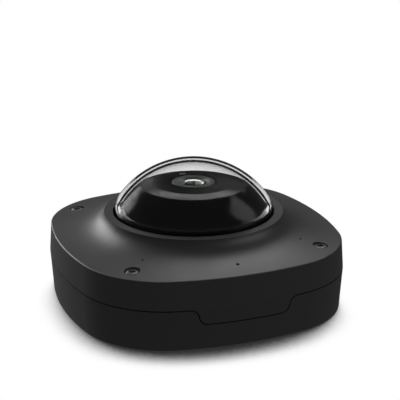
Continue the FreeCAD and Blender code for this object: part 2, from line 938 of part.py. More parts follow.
tray = new_body("base_housing")
mount_x = s.half_width - s.mount_inset
mount_places = [(x, y) for x in (mount_x, -mount_x) for y in (s.mount_y, -s.mount_y)]
pillar_places = corners_of_square(pillar_place)
board_screw_places = [(x, y) for x in (board_screw_x, -board_screw_x)
                      for y in (board_screw_back, -s.board_screw_front)]
cable_places = [(0.0, cable_place)]

loft(
    tray,
    [
        (0.0, s.half_width - s.base_draft - s.edge_round, s.corner_centre),
        (s.edge_round, tray_width(s.edge_round), s.corner_centre),
        (base_top, s.half_width, s.corner_centre),
    ],
    ruled=True,
)
curve, curve_arcs = parting_curve(base_top, -s.parting_gap / 2)
notch = front_sketch(tray)
outline(notch, curve + [(-s.tab_shoulder, cover_bottom), (s.tab_shoulder, cover_bottom)], curve_arcs)
pocket(tray, notch, past_outline, forward=True)
loft(
    tray,
    [
        (s.floor_thickness, tray_width(s.floor_thickness) - tab_depth, s.corner_centre),
        (base_top, s.half_width - tab_depth, s.corner_centre),
    ],
    ruled=True,
)
loft(
    tray,
    [
        (s.floor_thickness, tray_width(s.floor_thickness) - base_wall, s.corner_centre),
        (base_top, s.half_width - base_wall, s.corner_centre),
    ],
    cut=True,
    ruled=True,
)
seal_groove = flat_sketch(tray, base_top)
squircle(seal_groove, s.half_width - seal_outer, s.corner_centre)
squircle(seal_groove, s.half_width - seal_inner, s.corner_centre)
pocket(tray, seal_groove, s.seal_depth)

disc(tray, cover_places, s.floor_thickness, s.base_boss_radius, s.parting_height - s.floor_thickness)
disc(tray, pillar_places, s.floor_thickness, s.pillar_radius, bracket_bottom - s.floor_thickness)
disc(tray, board_screw_places, s.floor_thickness, s.board_post_radius, s.board_post_height)
disc(tray, mount_places, s.floor_thickness, s.mount_boss_radius, s.mount_boss_height)
disc(tray, cable_places, s.floor_thickness, s.cable_rim_radius, s.cable_rim_height)
half_rib = s.rib_thickness / 2
rib_front = -s.board_screw_front
rib_back = board_screw_back
rib_side = board_screw_x
for x in (rib_side, -rib_side):
    block(tray, x - half_rib, rib_front, x + half_rib, rib_back, s.floor_thickness, s.rib_height)
for y in (rib_back, rib_front):
    block(tray, -rib_side, y - half_rib, rib_side, y + half_rib, s.floor_thickness, s.rib_height)

screw_hole = s.cover_screw_radius + s.running_gap
holes(tray, cover_places, s.parting_height, screw_hole, s.parting_height - s.base_boss_floor)
small_hole = s.small_screw_radius + s.running_gap
holes(tray, pillar_places, bracket_bottom, small_hole, s.small_screw_length)
holes(tray, board_screw_places, board_bottom, small_hole, s.board_post_height)
mount_top = s.floor_thickness + s.mount_boss_height
holes(tray, mount_places, mount_top, s.mount_hole_radius, mount_top)
cable_top = s.floor_thickness + s.cable_rim_height
holes(tray, cable_places, cable_top, s.cable_hole_radius, cable_top)

seal = new_body("cover_seal")
strip = flat_sketch(seal, base_top - s.seal_depth)
squircle(strip, s.half_width - seal_outer - s.running_gap, s.corner_centre)
squircle(strip, s.half_width - seal_inner + s.running_gap, s.corner_centre)
pad(seal, strip, s.seal_depth + s.fit_gap)

grommet = new_body("cable_grommet")
turned(
    grommet,
    [
        (s.cable_radius, s.grommet_recess),
        (s.cable_hole_radius, s.grommet_recess),
        (s.cable_hole_radius, cable_top),
        (s.cable_hole_radius + s.grommet_lip, cable_top),
        (s.cable_hole_radius + s.grommet_lip, cable_top + s.grommet_wall),
        (s.cable_radius + 2 * s.grommet_wall, cable_top + s.grommet_wall),
        (s.cable_radius + s.grommet_wall, cable_top + s.grommet_sleeve_height),
        (s.cable_radius, cable_top + s.grommet_sleeve_height),
    ],
    y=cable_place,
)

# Main board and what stands on it

board = new_body("main_board")
plan = flat_sketch(board, board_bottom)
rectangle(plan, -board_half, -board_half, board_half, board_back)
circles_at(plan, board_screw_places, small_hole)
circles_at(plan, pillar_places[2:], s.pillar_radius + s.fit_gap)
pad(board, plan, s.board_thickness)

board_screws = screws(
    "board_screws",
    board_screw_places,
    board_top,
    s.small_screw_radius,
    s.board_thickness + s.board_post_height - s.screw_end_gap,
    s.small_head_radius,
    s.small_head_height,
)

half_chip = s.chip_size / 2
block(
    new_body("processor"),
    s.chip_x - half_chip,
    s.chip_y - half_chip,
    s.chip_x + half_chip,
    s.chip_y + half_chip,
    board_top,
    s.chip_height,
)
block(
    new_body("thermal_pad"),
    s.chip_x - half_chip,
    s.chip_y - half_chip,
    s.chip_x + half_chip,
    s.chip_y + half_chip,
    chip_top,
    s.pad_thickness,
)

sink = new_body("heat_sink")
half_sink = s.sink_length / 2
sink_left = s.chip_x - half_sink
sink_front = s.chip_y - half_sink
block(sink, sink_left, sink_front, s.chip_x + half_sink, s.chip_y + half_sink, sink_bottom, s.sink_base)
fin_sketch = flat_sketch(sink, sink_bottom + s.sink_base)
rectangle(fin_sketch, sink_left, sink_front, sink_left + s.fin_thickness, s.chip_y + half_sink)
fin = pad(sink, fin_sketch, s.fin_height)
fins = sink.newObject("PartDesign::LinearPattern", "heat_sink_fins")
fins.Originals = [fin]
fins.Direction = (origin_feature(sink, "X_Axis"), [""])
fins.Length = (s.sink_length - s.fin_thickness).number
bind(fins, "Length", s.sink_length - s.fin_thickness)
fins.Occurrences = int(s.fin_count.number)
sink.Tip = fins

# Sockets on the main board

jack = new_body("ethernet_jack")
jack_back = board_back + s.jack_overhang
block(
    jack, -s.jack_half_width, jack_back - s.jack_depth, s.jack_half_width, jack_back, board_top, s.jack_height
)
plug = front_sketch(jack, 0.0, jack_back)
plug_floor = board_top + (s.jack_height - s.plug_height - s.latch_height) / 2
plug_roof = plug_floor + s.plug_height
latch_roof = plug_roof + s.latch_height
outline(
    plug,
    [
        (-s.plug_half_width, plug_floor),
        (s.plug_half_width, plug_floor),
        (s.plug_half_width, plug_roof),
        (s.latch_half_width, plug_roof),
        (s.latch_half_width, latch_roof),
        (-s.latch_half_width, latch_roof),
        (-s.latch_half_width, plug_roof),
        (-s.plug_half_width, plug_roof),
    ],
)
pocket(jack, plug, s.plug_depth, forward=True)

transformer = new_body("power_transformer")
half_length = s.transformer_length / 2
half_depth = s.transformer_depth / 2
block(
    transformer,
    s.transformer_x - half_length,
    s.transformer_y - half_depth,
    s.transformer_x + half_length,
    s.transformer_y + half_depth,
    board_top,
    s.transformer_base,
)
block(
    transformer,
    s.transformer_x - half_length + s.transformer_step,
    s.transformer_y - half_depth + s.transformer_step,
    s.transformer_x + half_length - s.transformer_step,
    s.transformer_y + half_depth - s.transformer_step,
    board_top + s.transformer_base,
    s.transformer_height - s.transformer_base,
)

capacitors = new_body("capacitors")
capacitor_places = [(s.capacitor_x, s.capacitor_y), (s.capacitor_x + s.capacitor_pitch, s.capacitor_y)]
capacitor_top = board_top + s.capacitor_height
disc(capacitors, capacitor_places, board_top, s.capacitor_radius, s.capacitor_height)
holes(capacitors, capacitor_places, capacitor_top, s.capacitor_dimple_radius, s.capacitor_dimple_depth)

chips = new_body("memory_chips")
for x in (s.chip_x - s.memory_spacing, s.chip_x + s.memory_spacing):
    half_memory = s.memory_length / 2
    back = sink_front - s.loose_gap
    block(chips, x - half_memory, back - s.memory_depth, x + half_memory, back, board_top, s.memory_height)

terminal = new_body("terminal_block")
terminal_right = s.terminal_left + s.terminal_pitch * s.terminal_poles
terminal_front = board_back - s.terminal_depth
block(terminal, s.terminal_left, terminal_front, terminal_right, board_back, board_top, s.terminal_height)
poles = [s.terminal_left + s.terminal_pitch * (i + 0.5) for i in range(int(s.terminal_poles.number))]
terminal_top = board_top + s.terminal_height
well_places = [(x, board_back - s.terminal_screw_row) for x in poles]
holes(terminal, well_places, terminal_top, s.terminal_screw_radius, s.terminal_well_depth)
mouths = front_sketch(terminal, 0.0, board_back)
for x in poles:
    half_mouth = s.terminal_mouth / 2
    mouth_floor = board_top + s.terminal_mouth_height
    rectangle(mouths, x - half_mouth, mouth_floor, x + half_mouth, mouth_floor + s.terminal_mouth)
pocket(terminal, mouths, s.terminal_mouth, forward=True)

slot = new_body("card_slot")
slot_left = board_half - s.card_slot_depth
half_slot = s.card_slot_width / 2
block(
    slot, slot_left, s.card_slot_y - half_slot, board_half, s.card_slot_y + half_slot, board_top,
    s.card_slot_height,
)
card_bay = flat_sketch(slot, board_top + s.card_slot_height - s.card_slot_wall)
rectangle(
    card_bay,
    slot_left + s.card_slot_wall * 2,
    s.card_slot_y - half_slot + s.card_slot_wall * 3,
    board_half + s.loose_gap,
    s.card_slot_y + half_slot - s.card_slot_wall * 3,
)
pocket(slot, card_bay, s.card_slot_height - s.card_slot_wall * 2)

# Reset button, a short plunger in its switch

switch = new_body("reset_switch")
block(
    switch,
    s.switch_x - s.switch_half,
    s.switch_y - s.switch_half,
    s.switch_x + s.switch_half,
    s.switch_y + s.switch_half,
    board_top,
    s.switch_height,
)
switch_top = board_top + s.switch_height
switch_place = [(s.switch_x, s.switch_y)]
holes(
    switch,
    switch_place,
    switch_top,
    s.plunger_radius + s.running_gap,
    s.plunger_inside + s.plunger_travel + s.fit_gap,
)
button = new_body("reset_button")
plunger_length = s.plunger_inside + s.plunger_height
disc(button, switch_place, switch_top - s.plunger_inside, s.plunger_radius, plunger_length)

# Bracket that carries the camera module over the main board

bracket = new_body("module_bracket")
plan = flat_sketch(bracket, bracket_bottom)
circle(plan, 0.0, 0.0, bracket_radius)
pad(bracket, plan, s.bracket_thickness)
for turn in (45.0, -45.0):
    arm = flat_sketch(bracket, bracket_bottom, turn)
    rectangle(arm, -mic_arm_reach, -s.arm_half_width, mic_arm_reach, s.arm_half_width)
    pad(bracket, arm, s.bracket_thickness)
arm = flat_sketch(bracket, bracket_bottom)
rectangle(arm, -s.arm_half_width, -light_arm_reach, s.arm_half_width, 0.0)
pad(bracket, arm, s.bracket_thickness)
rim = flat_sketch(bracket, bracket_bottom - s.bracket_rim_depth)
circle(rim, 0.0, 0.0, bracket_radius)
circle(rim, 0.0, 0.0, bracket_radius - s.bracket_rim)
pad(bracket, rim, s.bracket_rim_depth)
sensor_posts = corners_of_square(s.sensor_post_place)
disc(bracket, sensor_posts, bracket_top, s.sensor_post_radius, s.sensor_post_height)

ribbon_y = s.ribbon_half_width + s.loose_gap
slots = flat_sketch(bracket, bracket_top)
slot_half = s.ribbon_bend
rectangle(slots, s.ribbon_x - slot_half, -ribbon_y, s.ribbon_x + slot_half, ribbon_y)
mic_slot_half = s.mic_ribbon_half_width + s.fit_gap
mic_x = mic_place - s.mic_ribbon_offset
mic_y = -mic_x
rectangle(slots, mic_x - mic_slot_half, mic_y - s.loose_gap, mic_x + mic_slot_half, mic_y + s.loose_gap)
pocket(bracket, slots, s.bracket_thickness)
holes(bracket, pillar_places, bracket_top, small_hole, s.bracket_thickness)
ear_screw_circle = liner_radius + s.ear_screw_offset
ear_places = [(ear_screw_circle, 0.0), (0.0, ear_screw_circle), (-ear_screw_circle, 0.0),
              (0.0, -ear_screw_circle)]
holes(bracket, ear_places, bracket_top, s.ear_screw_radius + s.running_gap, s.bracket_thickness)
sensor_hole = s.sensor_screw_radius + s.running_gap
holes(bracket, sensor_posts, sensor_board_bottom, sensor_hole, s.sensor_post_height + s.bracket_thickness)

bracket_screws = screws(
    "bracket_screws",
    pillar_places,
    bracket_top,
    s.small_screw_radius,
    s.bracket_thickness + s.small_screw_length - s.screw_end_gap,
    s.small_head_radius,
    s.small_head_height,
)

# Microphone board: a ring with four arms, and a fifth for the status light

mic_board = new_body("mic_board")
plan = flat_sketch(mic_board, bracket_top)
circle(plan, 0.0, 0.0, bracket_radius)
pad(mic_board, plan, s.mic_board_thickness)
for turn in (45.0, -45.0):
    arm = flat_sketch(mic_board, bracket_top, turn)
    rectangle(arm, -mic_arm_reach, -s.mic_arm_half_width, mic_arm_reach, s.mic_arm_half_width)
    pad(mic_board, arm, s.mic_board_thickness)
arm = flat_sketch(mic_board, bracket_top)
rectangle(arm, -s.mic_arm_half_width, -light_arm_reach, s.mic_arm_half_width, 0.0)
pad(mic_board, arm, s.mic_board_thickness)
holes(mic_board, [(0.0, 0.0)], mic_board_top, mic_board_inner, s.mic_board_thickness)

microphones = new_body("microphones")
half_mic = s.mic_half
for x, y in mic_places:
    block(microphones, x - half_mic, y - half_mic, x + half_mic, y + half_mic, mic_board_top, s.mic_height)
boots = new_body("mic_boots")
disc(boots, mic_places, mic_board_top, s.boot_radius, s.boot_height)
boot_room = flat_sketch(boots, mic_board_top)
circles_at(boot_room, mic_places, s.mic_half * math.sqrt(2) + s.fit_gap / 2)
pocket(boots, boot_room, s.mic_height + s.fit_gap, forward=True)
holes(boots, mic_places, boot_top, s.mic_hole_radius, s.boot_height)

led = new_body("status_led")
block(led, -s.led_half, -light_place - s.led_half, s.led_half, -light_place + s.led_half, mic_board_top,
      s.led_height)

# Sensor board and what it carries

sensor_board = new_body("sensor_board")
plan = flat_sketch(sensor_board, sensor_board_bottom)
half = s.sensor_board_half
rectangle(plan, -half, -half, half, half)
circles_at(plan, sensor_posts, sensor_hole)
pad(sensor_board, plan, s.board_thickness)
sensor_screws = screws(
    "sensor_screws",
    sensor_posts,
    sensor_board_top,
    s.sensor_screw_radius,
    s.board_thickness + s.sensor_post_height,
    s.sensor_head_radius,
    s.sensor_head_height,
)
sensor = new_body("image_sensor")
block(sensor, -s.sensor_half_x, -s.sensor_half_y, s.sensor_half_x, s.sensor_half_y, sensor_board_top,
      s.sensor_height)

holder = new_body("lens_holder")
block(holder, -s.holder_half, -s.holder_half, s.holder_half, s.holder_half, sensor_board_top,
      s.holder_block_height)
disc(holder, [(0.0, 0.0)], sensor_board_top + s.holder_block_height, s.holder_tube_radius,
     holder_top - sensor_board_top - s.holder_block_height)
cavity = flat_sketch(holder, sensor_board_top)
rectangle(
    cavity,
    -s.sensor_half_x - s.loose_gap,
    -s.sensor_half_y - s.loose_gap,
    s.sensor_half_x + s.loose_gap,
    s.sensor_half_y + s.loose_gap,
)
pocket(holder, cavity, s.holder_cavity_height, forward=True)
thread_hole = s.thread_radius + s.running_gap
holes(holder, [(0.0, 0.0)], holder_top, thread_hole, holder_top - filter_bottom)
holes(holder, [(0.0, 0.0)], holder_top, s.thread_radius - s.filter_ledge * 2, holder_top - sensor_board_top)

filter_glass = new_body("filter_glass")
disc(filter_glass, [(0.0, 0.0)], filter_bottom, s.thread_radius, s.filter_thickness)

# Fisheye lens

glass_seat = lens_top - s.lens_ring_inset
barrel = new_body("lens_barrel")
turned(
    barrel,
    [
        (s.barrel_bore, barrel_bottom),
        (s.thread_radius, barrel_bottom),
        (s.thread_radius, lock_top),
        (s.barrel_radius, lock_top),
        (s.barrel_radius, ring_bottom - 2 * s.barrel_step),
        (s.barrel_front_radius, ring_bottom - s.barrel_step),
        (s.barrel_front_radius, glass_seat),
        (s.glass_radius, glass_seat),
        (s.glass_radius, ring_bottom),
        (s.barrel_bore, ring_bottom - s.barrel_step),
    ],
)
rear_glass = new_body("lens_rear_glass")
disc(
    rear_glass,
    [(0.0, 0.0)],
    barrel_bottom + s.fit_gap,
    s.barrel_bore - s.running_gap,
    s.rear_glass_thickness,
)

lock = new_body("lens_lock_ring")
washer(lock, 0.0, 0.0, holder_top, thread_hole, s.lock_radius, s.lock_thickness)
notch_cut = flat_sketch(lock, lock_top)
circle(notch_cut, s.lock_radius, 0.0, s.lock_notch_radius)
around(lock, [pocket(lock, notch_cut, s.lock_thickness)], s.lock_notch_count.number)

lens_ring = new_body("lens_ring")
ring_bore = s.barrel_front_radius + s.running_gap
turned(
    lens_ring,
    [
        (ring_bore, ring_bottom),
        (s.lens_ring_radius, ring_bottom),
        (s.lens_ring_radius, lens_top - s.lens_ring_chamfer),
        (s.lens_ring_radius - s.lens_ring_chamfer, lens_top),
        (s.lens_ring_inner, lens_top),
        (s.glass_radius - s.glass_overlap, glass_seat + s.lens_ring_chamfer),
        (s.glass_radius - s.glass_overlap, glass_seat),
        (ring_bore, glass_seat),
    ],
)
front_glass = new_body("lens_front_glass")
glass_rim = s.glass_radius - s.running_gap
glass_edge = glass_rim - s.glass_overlap
glass_curve = (glass_edge * glass_edge + s.glass_crown * s.glass_crown) / (2 * s.glass_crown)
turned(
    front_glass,
    [
        (0.0, glass_seat - s.glass_depth),
        (glass_rim, glass_seat - s.glass_depth),
        (glass_rim, glass_seat),
        (glass_edge, glass_seat),
        (0.0, glass_seat + s.glass_crown),
    ],
    {3: (0.0, glass_seat + s.glass_crown - glass_curve, 1)},
)

# Black inner cover under the dome, in two pieces


def liner_reach(height):
    """Radius of the liner's ball at a height."""
    rise = height - dome_centre
    return root(liner_sphere * liner_sphere - rise * rise)


skirt_top_radius = liner_reach(liner_seam)
shoulder = dome_centre + root(liner_sphere * liner_sphere - liner_radius * liner_radius)
liner = new_body("liner_skirt")
turned(
    liner,
    [
        (liner_radius - s.liner_wall, bracket_top),
        (liner_radius, bracket_top),
        (liner_radius, shoulder),
        (skirt_top_radius, liner_seam),
        (skirt_top_radius - s.liner_wall, liner_seam),
        (liner_radius - s.liner_wall, shoulder - s.liner_wall / 2),
    ],
    {2: (0.0, dome_centre, 1)},
)
ear = flat_sketch(liner, bracket_top)
rectangle(ear, liner_radius - s.liner_wall / 2, -s.ear_half_width, ear_reach, s.ear_half_width)
ear_pad = pad(liner, ear, s.ear_thickness)
around(liner, [ear_pad])
holes(liner, ear_places, bracket_top + s.ear_thickness, s.ear_screw_radius + s.running_gap, s.ear_thickness)
liner_screws = screws(
    "liner_screws",
    ear_places,
    bracket_top + s.ear_thickness,
    s.ear_screw_radius,
    s.ear_thickness + s.bracket_thickness,
    s.ear_head_radius,
    s.clamp_head_height,
)

cap_bottom = liner_seam + s.seam_gap
cap_rim = liner_reach(cap_bottom)
lip_outer = skirt_top_radius - s.liner_wall - s.fit_gap
lip_inner = lip_outer - s.cap_wall
cap_edge = liner_top - s.cap_edge_drop
cap_bevel = liner_top - s.cap_bevel_drop
cap_top = liner_top - s.cap_drop
cap = new_body("liner_cap")
turned(
    cap,
    [
        (s.cap_hole, cap_top - s.cap_wall),
        (s.cap_bevel_radius - s.cap_wall / 2, cap_bevel - s.cap_wall),
        (liner_reach(cap_edge) - s.cap_wall, cap_edge - s.cap_wall),
        (lip_inner, cap_bottom),
        (lip_inner, cap_bottom - s.cap_lip_depth),
        (lip_outer, cap_bottom - s.cap_lip_depth),
        (lip_outer, cap_bottom),
        (cap_rim, cap_bottom),
        (liner_reach(cap_edge), cap_edge),
        (s.cap_bevel_radius, cap_bevel),
        (s.cap_hole, cap_top),
    ],
    {7: (0.0, dome_centre, 1)},
)

# Flat cables and the sockets that they go into

sockets = new_body("cable_sockets")
socket_top = board_top + s.socket_height
sensor_socket_bottom = sensor_board_bottom - s.sensor_socket_height
half_thick = s.ribbon_thickness / 2
ribbon_level = sensor_socket_bottom + s.sensor_socket_height / 2
sensor_socket_left = -s.sensor_board_half + s.socket_wall
block(
    sockets,
    s.ribbon_x - s.socket_wall,
    -ribbon_y,
    s.ribbon_x + s.socket_wall,
    ribbon_y,
    board_top,
    s.socket_height,
)
block(
    sockets,
    sensor_socket_left,
    -ribbon_y,
    sensor_socket_left + s.sensor_socket_depth,
    ribbon_y,
    sensor_socket_bottom,
    s.sensor_socket_height,
)
block(
    sockets,
    mic_x - mic_slot_half,
    mic_y - s.socket_wall,
    mic_x + mic_slot_half,
    mic_y + s.socket_wall,
    board_top,
    s.socket_height,
)

ribbon = new_body("sensor_cable")
path = front_sketch(ribbon, 0.0, s.ribbon_half_width)
bend_x = s.ribbon_x + s.ribbon_bend
bend_z = ribbon_level - s.ribbon_bend
outline(
    path,
    [
        (s.ribbon_x + half_thick, socket_top),
        (s.ribbon_x + half_thick, bend_z),
        (bend_x, ribbon_level - half_thick),
        (sensor_socket_left, ribbon_level - half_thick),
        (sensor_socket_left, ribbon_level + half_thick),
        (bend_x, ribbon_level + half_thick),
        (s.ribbon_x - half_thick, bend_z),
        (s.ribbon_x - half_thick, socket_top),
    ],
    {
        1: (bend_x, bend_z, -1),
        5: (bend_x, bend_z, 1),
    },
)
pad(ribbon, path, s.ribbon_half_width * 2)

mic_cable = new_body("mic_cable")
block(
    mic_cable,
    mic_x - s.mic_ribbon_half_width,
    mic_y - half_thick,
    mic_x + s.mic_ribbon_half_width,
    mic_y + half_thick,
    socket_top,
    bracket_top - socket_top,
)

# Check every object, then write one file for each sub-part

doc.recompute()
faults = [item.Label for item in doc.Objects if "Invalid" in item.State or "Error" in item.State]
bodies = doc.findObjects("PartDesign::Body")
for body in bodies:
    if body.Shape.isNull() or not body.Shape.isValid() or not body.Shape.Solids:
        faults.append(body.Label)
if faults:
    raise RuntimeError("These pieces failed: " + ", ".join(faults))

os.makedirs("parts", exist_ok=True)
for body in bodies:
    body.Shape.exportStep(f"parts/{body.Label}.step")
    print(f"{body.Label}: {len(body.Shape.Solids)} solids, {body.Shape.Volume:.1f} mm3")
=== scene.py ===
import math
import random

import bmesh
import bpy
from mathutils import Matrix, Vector


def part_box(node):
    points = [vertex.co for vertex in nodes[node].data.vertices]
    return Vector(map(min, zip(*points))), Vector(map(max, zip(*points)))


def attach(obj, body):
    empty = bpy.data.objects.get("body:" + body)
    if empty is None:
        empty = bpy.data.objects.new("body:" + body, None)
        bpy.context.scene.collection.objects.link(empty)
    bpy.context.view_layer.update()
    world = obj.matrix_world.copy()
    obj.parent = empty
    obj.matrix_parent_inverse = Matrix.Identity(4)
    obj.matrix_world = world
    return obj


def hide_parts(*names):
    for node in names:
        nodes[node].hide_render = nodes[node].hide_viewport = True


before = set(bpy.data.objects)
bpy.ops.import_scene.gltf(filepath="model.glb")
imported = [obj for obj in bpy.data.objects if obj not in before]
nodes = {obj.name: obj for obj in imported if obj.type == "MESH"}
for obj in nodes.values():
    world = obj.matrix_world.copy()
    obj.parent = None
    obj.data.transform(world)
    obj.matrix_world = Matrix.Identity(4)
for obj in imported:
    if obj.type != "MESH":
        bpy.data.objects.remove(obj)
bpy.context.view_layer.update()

# Camera
# It stands at the front left, 20 degrees above the table, on a long lens. Its frame is shifted up, because
# the object stands low in the picture.

image_width = 400
lens_pixels = 1202.05
axis_row = 238.87
view_azimuth = math.radians(-20.7)
view_elevation = math.radians(20.23)
view_distance = 0.65109
aim_height = 0.030
aim_right = 0.00347


def heading(azimuth, elevation):
    """The way out from the object at an azimuth and elevation, where azimuth 0 is its front."""
    level = math.cos(elevation)
    return Vector((math.sin(azimuth) * level, -math.cos(azimuth) * level, math.sin(elevation)))


view_back = heading(view_azimuth, view_elevation)
view_right = heading(view_azimuth + math.pi / 2, 0)
aim = view_right * aim_right + Vector((0, 0, aim_height))

camera_data = bpy.data.cameras.new("camera")
camera = bpy.data.objects.new("camera", camera_data)
bpy.context.scene.collection.objects.link(camera)
camera.location = aim + view_back * view_distance
camera.rotation_mode = "QUATERNION"
camera.rotation_quaternion = (-view_back).to_track_quat("-Z", "Y")
camera_data.lens = lens_pixels * camera_data.sensor_width / image_width
camera_data.shift_y = (axis_row - image_width / 2) / image_width
camera_data.clip_start = 0.01
camera_data.clip_end = 50
bpy.context.scene.camera = camera
bpy.context.scene.view_settings.view_transform = "Standard"

# Studio light
# A dim room with soft boxes behind the object and at its left, each set by its turn from the camera. Three
# more shine on the paint and the cover screws alone, so that the dome stays free of them. The liner and the
# lens under the dome mirror soft patches, which the room shows only to them.

seen_level = 1.0
through_level = 1.12
soft_room_level = 0.16
mirror_room_level = 0.04
liner_room_level = 0.024
wall_passes = 2.5
wall_ahead = 0.86
patch_ahead = 0.05


def dot_with(tree, socket, way):
    node = tree.nodes.new("ShaderNodeVectorMath")
    node.operation = "DOT_PRODUCT"
    tree.links.new(socket, node.inputs[0])
    node.inputs[1].default_value = way
    return node.outputs["Value"]


def calculate(tree, operation, first, second=0.0):
    """A sum, product or the like of two values, each a number or a socket."""
    node = tree.nodes.new("ShaderNodeMath")
    node.operation = operation
    for i, value in enumerate((first, second)):
        if isinstance(value, float):
            node.inputs[i].default_value = value
        else:
            tree.links.new(value, node.inputs[i])
    return node.outputs[0]


def soft_step(tree, value, low, high):
    """0 below low, 1 above high, and smooth between, or the other way round where low is above high."""
    node = tree.nodes.new("ShaderNodeMapRange")
    node.interpolation_type = "SMOOTHSTEP"
    node.inputs["From Min"].default_value = min(low, high)
    node.inputs["From Max"].default_value = max(low, high)
    node.inputs["To Min"].default_value = 0.0 if low < high else 1.0
    node.inputs["To Max"].default_value = 1.0 if low < high else 0.0
    tree.links.new(value, node.inputs["Value"])
    return node.outputs["Result"]


def dome_rays(tree):
    """Light Path, and masks of the rays straight through the dome, in its wall, and mirrored under it."""
    rays = tree.nodes.new("ShaderNodeLightPath")
    passes = rays.outputs["Transmission Depth"]
    mirrored_ray = calculate(tree, "GREATER_THAN", rays.outputs["Glossy Depth"], 0.5)
    through = rays.outputs["Is Transmission Ray"]
    for depth in ("Diffuse Depth", "Glossy Depth"):
        through = calculate(tree, "MULTIPLY", through, calculate(tree, "LESS_THAN", rays.outputs[depth], 0.5))
    under = calculate(tree, "MULTIPLY", mirrored_ray, calculate(tree, "GREATER_THAN", passes, wall_passes))
    passed = calculate(tree, "MULTIPLY", mirrored_ray, calculate(tree, "GREATER_THAN", passes, 0.5))
    in_wall = calculate(tree, "SUBTRACT", passed, under)
    return rays, through, in_wall, under


def mix_by(tree, factor, plain, chosen):
    """The plain shader, or the chosen one where the factor is 1."""
    mix = tree.nodes.new("ShaderNodeMixShader")
    tree.links.new(factor, mix.inputs["Fac"])
    tree.links.new(plain, mix.inputs[1])
    tree.links.new(chosen, mix.inputs[2])
    return mix.outputs["Shader"]


def sky_glow(tree, level):
    glow = tree.nodes.new("ShaderNodeBackground")
    glow.inputs["Color"].default_value = (1, 1, 1, 1)
    if isinstance(level, float):
        glow.inputs["Strength"].default_value = level
    else:
        tree.links.new(level, glow.inputs["Strength"])
    return glow.outputs["Background"]


def mirrored_box(tree, look, turn, elevation, half_width, half_height, blur, level):
    """The patch that a soft box makes in a mirror, by its half sizes and the blur of its rim, in degrees."""
    turn = view_azimuth + math.radians(turn)
    elevation = math.radians(elevation)
    way = heading(turn, elevation)
    side = heading(turn + math.pi / 2, 0)
    ahead = dot_with(tree, look, way)
    patch = calculate(tree, "GREATER_THAN", ahead, patch_ahead)
    for axis, half in ((side, half_width), (way.cross(side), half_height)):
        across = calculate(tree, "ABSOLUTE", calculate(tree, "DIVIDE", dot_with(tree, look, axis), ahead))
        rim, core = math.tan(math.radians(half + blur)), math.tan(math.radians(half - blur))
        patch = calculate(tree, "MULTIPLY", patch, soft_step(tree, across, rim, core))
    return calculate(tree, "MULTIPLY", patch, level)


world = bpy.data.worlds.new("studio")
bpy.context.scene.world = world
world.use_nodes = True
sky = world.node_tree
sky.nodes.clear()
sky_look = sky.nodes.new("ShaderNodeTexCoord").outputs["Generated"]
# Turn, elevation, half width, half height, blur and level of each
liner_boxes = [
    (-136, 8, 12, 14, 6, 2.1),
    (-160, 18, 13, 9, 1.5, 0.36),
    (168, 21, 10, 6, 3, 0.14),
    (180, 37, 35, 6, 3, 1.7),
    (101, 32, 14, 17, 2, 1.0),
]
liner_level = liner_room_level
for liner_box in liner_boxes:
    liner_level = calculate(sky, "ADD", mirrored_box(sky, sky_look, *liner_box), liner_level)
sky_rays, sky_through, sky_in_wall, sky_under = dome_rays(sky)
sky_light = mix_by(sky, sky_under, sky_glow(sky, mirror_room_level), sky_glow(sky, liner_level))
sky_ahead = calculate(sky, "GREATER_THAN", dot_with(sky, sky_look, -view_back), wall_ahead)
sky_wall = mix_by(sky, sky_ahead, sky_glow(sky, liner_room_level), sky_glow(sky, seen_level))
sky_light = mix_by(sky, sky_in_wall, sky_light, sky_wall)
sky_light = mix_by(sky, sky_rays.outputs["Is Diffuse Ray"], sky_light, sky_glow(sky, soft_room_level))
sky_light = mix_by(sky, sky_through, sky_light, sky_glow(sky, through_level))
sky_light = mix_by(sky, sky_rays.outputs["Is Camera Ray"], sky_light, sky_glow(sky, seen_level))
sky_out = sky.nodes.new("ShaderNodeOutputWorld")
sky.links.new(sky_light, sky_out.inputs["Surface"])


painted = bpy.data.collections.new("painted")
for name in ("top_cover", "base_housing"):
    painted.objects.link(nodes[name])


def soft_box(name, turn, elevation, distance, width, height, power, paint_only=False):
    """A soft box that faces the object. A turn of 0 is at the camera, -90 at its left, and 180 behind."""
    lamp = bpy.data.lights.new(name, "AREA")
    lamp.shape = "RECTANGLE"
    lamp.size = width
    lamp.size_y = height
    lamp.energy = power
    box = bpy.data.objects.new(name, lamp)
    bpy.context.scene.collection.objects.link(box)
    way = heading(view_azimuth + math.radians(turn), math.radians(elevation))
    box.location = way * distance + Vector((0, 0, aim_height))
    box.rotation_mode = "QUATERNION"
    box.rotation_quaternion = (-way).to_track_quat("-Z", "Y")
    box.visible_transmission = False
    if paint_only:
        box.light_linking.receiver_collection = painted
    else:
        box.visible_glossy = False
    return box


soft_box("back_box", 180, 56, 1.2, 0.9, 0.5, 1.3)
soft_box("left_box", -135, 4, 0.8, 0.4, 0.3, 8.0)
soft_box("roof_box", 168, 46, 1.5, 0.60, 0.60, 2.3, paint_only=True)
soft_box("flare_box", -138, 22, 1.5, 0.72, 0.95, 6.8, paint_only=True)
soft_box("front_box", 80, 36, 1.5, 1.20, 0.75, 1.9, paint_only=True)

# Floor
# A wide white table, pure white to the camera and through the dome, apart from a painted soft shadow of the
# object on it. It throws little light back on the object.

floor_reach = 6.0
floor_sink = 0.0002
shadow_reach = 0.035
shadow_lean = 1.0
shadow_core = 0.38
shadow_rim = 0.66
shadow_level = 0.03
shadow_samples = 24
table_mirror = 0.07
table_behind = 0.05

